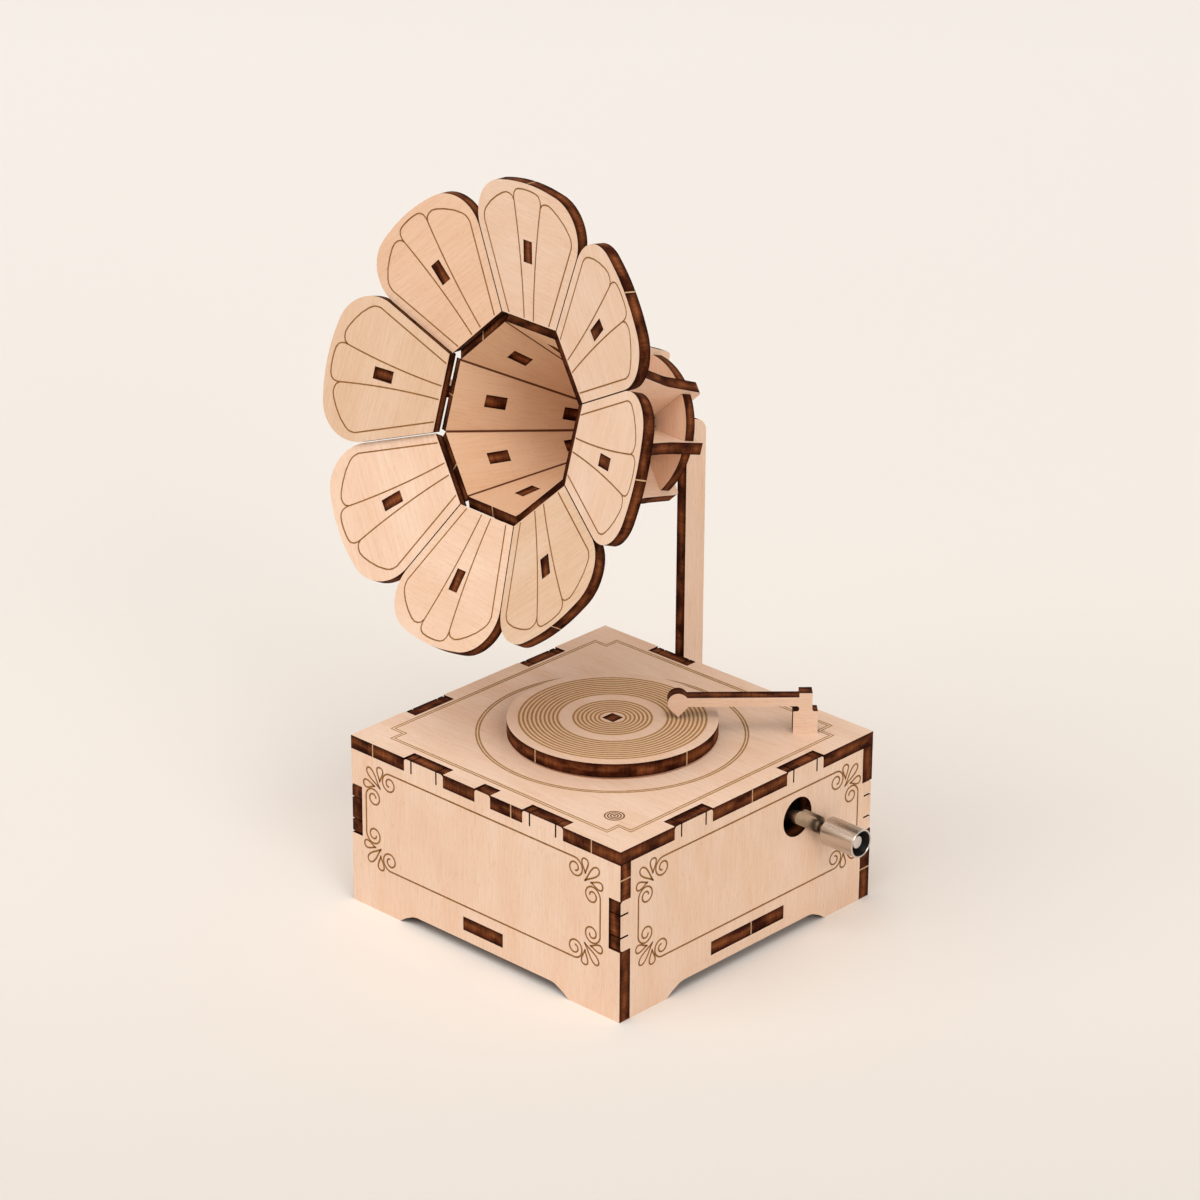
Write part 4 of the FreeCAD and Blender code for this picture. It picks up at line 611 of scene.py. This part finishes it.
def engrave_deck(finish, spot_finish):
    engrave_rings("deck_rings", DECK_RINGS, DECK_RING_PITCH, BORDER_WIDTH,
                  DECK_ENGRAVING_MIDDLE, DECK_TOP, "case", finish)
    engrave_rings("deck_spot", SPOT_RINGS, SPOT_PITCH, SPOT_LINE_WIDTH,
                  SPOT_PLACE, DECK_TOP, "case", spot_finish)
    half, notch = DECK_BORDER, DECK_BORDER_NOTCH
    quarters = []
    for inset in (-DECK_BORDER_GAP / 2, DECK_BORDER_GAP / 2):
        corner, turn = -inset, -inset - notch
        points = [(-half, corner), (turn, corner), (turn, turn), (corner, turn), (corner, -half)]
        quarters.append((points, False))
    values = {"Half Width": half * MM, "Half Height": half * MM}
    values.update(line_values(BORDER_WIDTH, finish))
    middle_x, middle_y = DECK_ENGRAVING_MIDDLE
    place = sheet_matrix((middle_x, middle_y, DECK_TOP), (1, 0, 0), (0, 1, 0))
    grow("deck_border", line_curves("deck_border_quarter", quarters), corner_tree(), values, place, "case")


def scroll():
    """Spiral that a frame's line curls into, seen from the top right corner of the frame."""
    away, below = SCROLL_PLACE
    points = []
    steps = 42
    for i in range(steps + 1):
        share = i / steps
        radius = below + (SCROLL_END - below) * share
        angle = math.pi / 2 - 2 * math.pi * SCROLL_TURNS * share
        points.append((-away + radius * math.cos(angle), -below + radius * math.sin(angle)))
    return points


def leaf(foot, tip, width):
    """Closed drop from its pointed foot to its round tip."""
    foot, tip = Vector(foot), Vector(tip)
    along = tip - foot
    side = Vector((-along.y, along.x)).normalized()
    widest = 0.6495                  # largest value of sin(t) sin(t/2)^2
    points = []
    steps = 28
    for i in range(steps):
        turn = 2 * math.pi * i / steps
        reach = along * (1 - math.cos(turn)) / 2
        bulge = side * (width / 2 * math.sin(turn) * math.sin(turn / 2) ** 2 / widest)
        point = foot + reach + bulge
        points.append((-point.x, -point.y))
    return points


def frame_corner(half_width, half_height):
    """Top right quarter of a panel's frame: two scrolls, three leaves and half of each line."""
    upper = [(-half_width, 0)] + scroll()
    side = [(y, x) for x, y in [(-half_height, 0)] + scroll()]
    foot, tip = SIDE_LEAF
    lines = [(upper, False), (side, False), (leaf(*MIDDLE_LEAF, LEAF_WIDTH), True)]
    lines.append((leaf(foot, tip, LEAF_WIDTH), True))
    lines.append((leaf(foot[::-1], tip[::-1], LEAF_WIDTH), True))
    return lines


def engrave_panels(finish):
    half_height = (FRAME_HIGH - FRAME_LOW) / 2
    middle_z = (FRAME_HIGH + FRAME_LOW) / 2
    places = {
        "front_frame": sheet_matrix((FRONT_FRAME_MIDDLE, -HALF_DEPTH, middle_z), (1, 0, 0), (0, 0, 1)),
        "right_frame": sheet_matrix((HALF_WIDTH, SIDE_FRAME_MIDDLE, middle_z), (0, 1, 0), (0, 0, 1)),
        "left_frame": sheet_matrix((-HALF_WIDTH, -SIDE_FRAME_MIDDLE, middle_z), (0, -1, 0), (0, 0, 1)),
    }
    values = {"Half Width": FRAME_HALF_WIDTH * MM, "Half Height": half_height * MM}
    values.update(line_values(SCROLL_WIDTH, finish))
    for name, place in places.items():
        corner = line_curves(name + "_corner", frame_corner(FRAME_HALF_WIDTH, half_height))
        grow(name, corner, corner_tree(), values, place, "case")


def petal_half_width(distance):
    reach = PETAL_START + distance * math.cos(PETAL_LEAN)
    return reach * math.tan(math.pi / HORN_SIDES)


def petal_lines():
    """Right half of a petal's engraving: an outer lobe and half of the middle one, then mirrored."""
    start, notch = 0.3, (4.0, 24.35)
    outer = [(petal_half_width(y) - PETAL_MARGIN, y) for y in (start, 7.0, 13.0, 18.35)]
    outer += [(13.3, 19.35), (13.15, 20.05), (12.7, 20.85), (11.3, 22.45), (9.4, 23.95), (7.6, 25.05)]
    outer += [(6.4, 25.5), (5.4, 25.45), (4.6, 25.15), notch]
    middle = []
    steps = 12
    for i in range(steps + 1):
        y = start + (notch[1] - start) * i / steps
        middle.append((1.42 + 0.028 * y + 0.0032 * y * y, y))
    middle += [(4.1, 25.05), (3.95, 25.95), (3.45, 26.65), (2.7, 27.0), (1.4, 27.2), (0, 27.25)]
    lines = []
    for half in (outer, middle):
        lines.append((half, False))
        lines.append(([(-x, y) for x, y in half], False))
    return lines


def engrave_petals(finish):
    along, ahead = math.cos(PETAL_LEAN), math.sin(PETAL_LEAN)
    turned = Matrix(((-1, 0, 0), (0, along, ahead), (0, ahead, -along)))
    values = {
        "Sides": HORN_SIDES, "Petal Place": Vector((0, PETAL_START, THROAT_LENGTH + PETAL_LEAD)) * MM,
        "Petal Turn": turned.to_euler(), "Proud Petal": PROUD_PETAL - 1,
        "Lift": Vector((0, -ahead, along)) * (PROUD_PETAL_LIFT * MM)}
    values.update(line_values(LINE_WIDTH, finish))
    lines = line_curves("petal_lines_one", petal_lines())
    grow("petal_lines", lines, petal_tree(), values, HORN_PLACE, "case")


def glue_throat(finish):
    """Thin bead of dried glue along each seam between two throat panels."""
    half_side = math.pi / HORN_SIDES
    out = Vector((math.sin(half_side), math.cos(half_side), 0))
    ahead = Vector((0, 0, 1))
    corner_growth = math.tan(CONE) / math.cos(half_side)
    inward = (-ahead - out * corner_growth).normalized()
    across = inward.cross(out).normalized()
    turned = Matrix((across, inward, across.cross(inward))).transposed()
    mouth_corner = MOUTH_INNER / math.cos(half_side) + SEAM_SETBACK - SEAM_START * corner_growth
    length = (THROAT_LENGTH - SEAM_START - SEAM_END) / -inward.z
    values = {
        "Sides": HORN_SIDES, "Petal Place": (out * mouth_corner + ahead * (THROAT_LENGTH - SEAM_START)) * MM,
        "Petal Turn": turned.to_euler(), "Proud Petal": -1, "Lift": Vector((0, 0, 0)),
        "Line Width": SEAM_WIDTH * MM, "Line Thickness": SEAM_DEPTH * MM, "Finish": finish}
    seam = line_curves("throat_seam_one", [([(0, 0), (0, length)], False)])
    grow("throat_seams", seam, petal_tree(), values, HORN_PLACE, "case")


# ---- unburnt nicks -------------------------------------------------------
def nick_turn(normal, thickness_axis):
    """Turn of a strip whose z stands out of the edge and whose y runs through the sheet."""
    normal, thickness_axis = Vector(normal).normalized(), Vector(thickness_axis).normalized()
    width_axis = thickness_axis.cross(normal)
    return Matrix((width_axis, thickness_axis, normal)).transposed().to_euler()


def add_nicks(name, nicks, thickness, body, finish):
    """Nicks on cut edges: each is its place in mm, the edge's normal and the sheet's normal."""
    points = bpy.data.meshes.new(name + "_points")
    points.from_pydata([Vector(place) * MM for place, normal, through in nicks], [], [])
    turns = points.attributes.new("turn", "FLOAT_VECTOR", "POINT")
    for value, (place, normal, through) in zip(turns.data, nicks):
        value.vector = nick_turn(normal, through)
    values = {"Nick Size": Vector((NICK_WIDTH, thickness - NICK_END_GAP, NICK_RISE)) * MM, "Finish": finish}
    grow(name, points, nick_tree(), values, Matrix.Identity(4), body)


def box_nicks(finish):
    front, right = -HALF_DEPTH, HALF_WIDTH
    middle = DECK_TOP - BOX_SHEET / 2
    up, out_front, out_right = (0, 0, 1), (0, -1, 0), (1, 0, 0)
    nicks = [
        ((-31.6, front, middle), out_front, up), ((30.15, front, middle), out_front, up),
        ((8.0, front, middle), out_front, up), ((right, 0.6, middle), out_right, up),
        ((right, -HALF_DEPTH + BOX_SHEET / 2, 31.6), out_right, (0, 1, 0)),
        ((right, HALF_DEPTH - BOX_SHEET / 2, 6.9), out_right, (0, 1, 0)),
        ((right - 0.15, 1.25, 6.3), out_right, up),
    ]
    add_nicks("box_nicks", nicks, BOX_SHEET, "case", finish)
    rim = []
    for angle in (-92.7, -3.1, 88.0, 178.0):
        outward = Vector((math.cos(math.radians(angle)), math.sin(math.radians(angle)), 0))
        place = outward * (RECORD_RADIUS - 0.01) + Vector((0, 0, RECORD_HIGH.z - BOX_SHEET / 2))
        rim.append((place, outward, up))
    add_nicks("record_nicks", rim, BOX_SHEET, "record", finish)


def horn_nicks(finish):
    """One on each petal's crown, and one on the mouth edge of each throat panel in NICKED_MOUTH_SIDES."""
    nicks = []
    for number in range(HORN_SIDES):
        edge, across, slope, through = petal_frame(number)
        nicks.append((edge + slope * PETAL_CROWN + through * HORN_SHEET / 2, slope, through))
        if number + 1 in NICKED_MOUTH_SIDES:
            mouth, inward, across, through = throat_frame(number)
            nicks.append((mouth + through * HORN_SHEET / 2, -inward, through))
    add_nicks("horn_nicks", nicks, HORN_SHEET, "case", finish)


# ---- studio --------------------------------------------------------------
CAMERA_AZIMUTH = math.radians(43.305)
CAMERA_ELEVATION = math.radians(23.978)
CAMERA_ROLL = math.radians(0.354)
CAMERA_DISTANCE = 919.3            # to the middle of the deck
CAMERA_SIDESTEP = (-2.568, 27.324) # camera's own right and up
CAMERA_LENS = 134.11
CAMERA_SENSOR = 36.0
FLOOR_SIZE = 6.0                   # metres


def place_camera():
    back = Vector((math.sin(CAMERA_AZIMUTH) * math.cos(CAMERA_ELEVATION),
                   -math.cos(CAMERA_AZIMUTH) * math.cos(CAMERA_ELEVATION), math.sin(CAMERA_ELEVATION)))
    level = Vector((math.cos(CAMERA_AZIMUTH), math.sin(CAMERA_AZIMUTH), 0))
    upright = back.cross(level)
    right = level * math.cos(CAMERA_ROLL) + upright * math.sin(CAMERA_ROLL)
    up = upright * math.cos(CAMERA_ROLL) - level * math.sin(CAMERA_ROLL)
    sidestep = right * CAMERA_SIDESTEP[0] + up * CAMERA_SIDESTEP[1]
    place = Vector((0, 0, DECK_TOP)) + back * CAMERA_DISTANCE + sidestep
    camera = bpy.data.objects.new("camera", bpy.data.cameras.new("camera"))
    camera.data.lens = CAMERA_LENS
    camera.data.sensor_width = CAMERA_SENSOR
    camera.data.clip_start = 0.01
    camera.data.clip_end = 20.0
    camera.matrix_world = Matrix.Translation(place * MM) @ Matrix((right, up, back)).transposed().to_4x4()
    bpy.context.scene.collection.objects.link(camera)
    bpy.context.scene.camera = camera


def soft_light(name, place, target, size, power, colour):
    """Square soft box in metres and watts that faces its target."""
    lamp = bpy.data.lights.new(name, "AREA")
    lamp.shape = "SQUARE"
    lamp.size = size
    lamp.energy = power
    lamp.color = linear(colour)[:3]
    light = bpy.data.objects.new(name, lamp)
    light.location = place
    light.rotation_euler = (Vector(target) - Vector(place)).to_track_quat("-Z", "Y").to_euler()
    bpy.context.scene.collection.objects.link(light)


def studio_paper():
    """Matt paper sweep with painted light: its colour is darker in front of the box, and lighter and cooler
    where it runs away behind the box.
    """
    material, tree = empty_material("studio_paper_painted_falloff")
    coordinates = add(tree, "ShaderNodeTexCoord")
    turned = add(tree, "ShaderNodeMapping", {
        "Vector": coordinates.outputs["Object"], "Rotation": (0, 0, CAMERA_AZIMUTH)}, vector_type="TEXTURE")
    parts = add(tree, "ShaderNodeSeparateXYZ", {0: turned.outputs[0]})
    distance = add(tree, "ShaderNodeMapRange", {
        "Value": parts.outputs["Y"], "From Min": -0.2, "From Max": 0.6})
    # Painted light: the ramp darkens the paper near the box and lightens it far behind, in place of the
    # lamps' falloff.
    colour = add(tree, "ShaderNodeValToRGB", {0: distance.outputs[0]}, stops=[
        (0.0, "#E1DAD1"), (0.25, "#F1EAE3"), (1.0, "#FAF5F0")])
    fibres = add(tree, "ShaderNodeMapping", {
        "Vector": coordinates.outputs["Object"], "Scale": (0.002, 0.002, 0.002)}, vector_type="TEXTURE")
    fibre_noise = add(tree, "ShaderNodeTexNoise", {"Vector": fibres.outputs[0], "Scale": 1.0, "Detail": 2.0})
    bump = add(tree, "ShaderNodeBump", {
        "Strength": 0.1, "Distance": 0.05 * MM, "Height": fibre_noise.outputs[0]})
    shader = add(tree, "ShaderNodeBsdfPrincipled", {
        "Base Color": colour.outputs[0], "Roughness": 0.92, "Specular IOR Level": 0.1,
        "Normal": bump.outputs[0]})
    add(tree, "ShaderNodeOutputMaterial", {"Surface": shader.outputs[0]})
    return material


def build_studio():
    target = (0, 0, 0.07)
    soft_light("key_light", (-1.3, -3.0, 3.0), target, 3.2, 53.5, "#FFFDFB")
    soft_light("top_light", (0.9, -1.2, 3.7), target, 2.6, 57.0, "#FFFDFB")
    soft_light("side_light", (3.4, -1.0, 1.9), target, 1.8, 31.0, "#FFFCF9")

    world = bpy.data.worlds.new("studio_air")
    world.use_nodes = True
    world.node_tree.nodes.clear()
    tree = world.node_tree
    air = add(tree, "ShaderNodeBackground", {"Color": linear("#FAF7F3"), "Strength": 0.54})
    direction = add(tree, "ShaderNodeTexCoord")
    heights = add(tree, "ShaderNodeSeparateXYZ", {0: direction.outputs["Generated"]})
    room = add(tree, "ShaderNodeValToRGB", {0: heights.outputs["Z"]}, stops=[
        (0.7, "#F3ECE2"), (0.84, "#1E1B18")])
    backdrop = add(tree, "ShaderNodeBackground", {"Color": room.outputs[0], "Strength": 1.0})
    rays = add(tree, "ShaderNodeLightPath")
    straight = add(tree, "ShaderNodeMath", {
        0: rays.outputs["Is Camera Ray"], 1: rays.outputs["Is Transmission Ray"]}, operation="MAXIMUM")
    seen = add(tree, "ShaderNodeMath", {
        0: straight.outputs[0], 1: rays.outputs["Is Glossy Ray"]}, operation="MAXIMUM")
    mixed = add(tree, "ShaderNodeMixShader", {0: seen.outputs[0], 1: air.outputs[0], 2: backdrop.outputs[0]})
    add(tree, "ShaderNodeOutputWorld", {"Surface": mixed.outputs[0]})
    bpy.context.scene.world = world

    floor_mesh = bpy.data.meshes.new("floor")
    half = FLOOR_SIZE / 2
    corners = [(-half, -half, 0), (half, -half, 0), (half, half, 0), (-half, half, 0)]
    floor_mesh.from_pydata(corners, [], [(0, 1, 2, 3)])
    floor = bpy.data.objects.new("floor", floor_mesh)
    floor_mesh.materials.append(studio_paper())
    bpy.context.scene.collection.objects.link(floor)

    scene = bpy.context.scene
    scene.view_settings.view_transform = "Standard"


dress_box()
dress_horn()
dress_metal()
SOOT_GRAIN, SOOT_DULLNESS = (0.8, 0.8, 0.8), (0.75, 0.85)
# Burnt lines, matt and without any gleam: brown scrolls, a nearly black spot, a golden border
# and the record's tan grooves.
engraved = plain_material(
    "birch_plywood_engraved", ("#7E5223", "#9C6E38"), SOOT_GRAIN, SOOT_DULLNESS, specular=0.2)
charred = plain_material(
    "birch_plywood_deeply_scorched", ("#5E3A14", "#7C5226"), SOOT_GRAIN, SOOT_DULLNESS, specular=0.2)
scorched = plain_material(
    "birch_plywood_lightly_scorched", ("#98713E", "#B38A52"), SOOT_GRAIN, SOOT_DULLNESS, specular=0.2)
grooved = plain_material(
    "birch_plywood_grooved", ("#9E7345", "#B68B5B"), SOOT_GRAIN, SOOT_DULLNESS, specular=0.2)
# Wood that only took smoke: a faint tan veil between the grooves.
smoked = plain_material(
    "birch_plywood_smoked", ("#E6C09A", "#EDCBA8"), (2.5, 0.4, 0.8), (0.7, 0.8), specular=0.2)
# Glue that ran brown at the hot edges: dark threads with a slight gleam.
scorched_glue = plain_material(
    "wood_glue_dried_brown", ("#4E3019", "#6E4A2B"), (0.5, 0.5, 0.5), (0.45, 0.6), specular=0.4)
# Wood that the laser skipped: pale nicks across the brown edges.
unburnt = plain_material(
    "birch_plywood_unburnt", ("#B58E68", "#D6B48C"), (0.4, 0.4, 0.4), (0.7, 0.8), specular=0.2)
engrave_record(grooved, smoked)
engrave_deck(scorched, charred)
engrave_panels(engraved)
engrave_petals(engraved)
glue_throat(scorched_glue)
box_nicks(unburnt)
horn_nicks(unburnt)
build_studio()
place_camera()
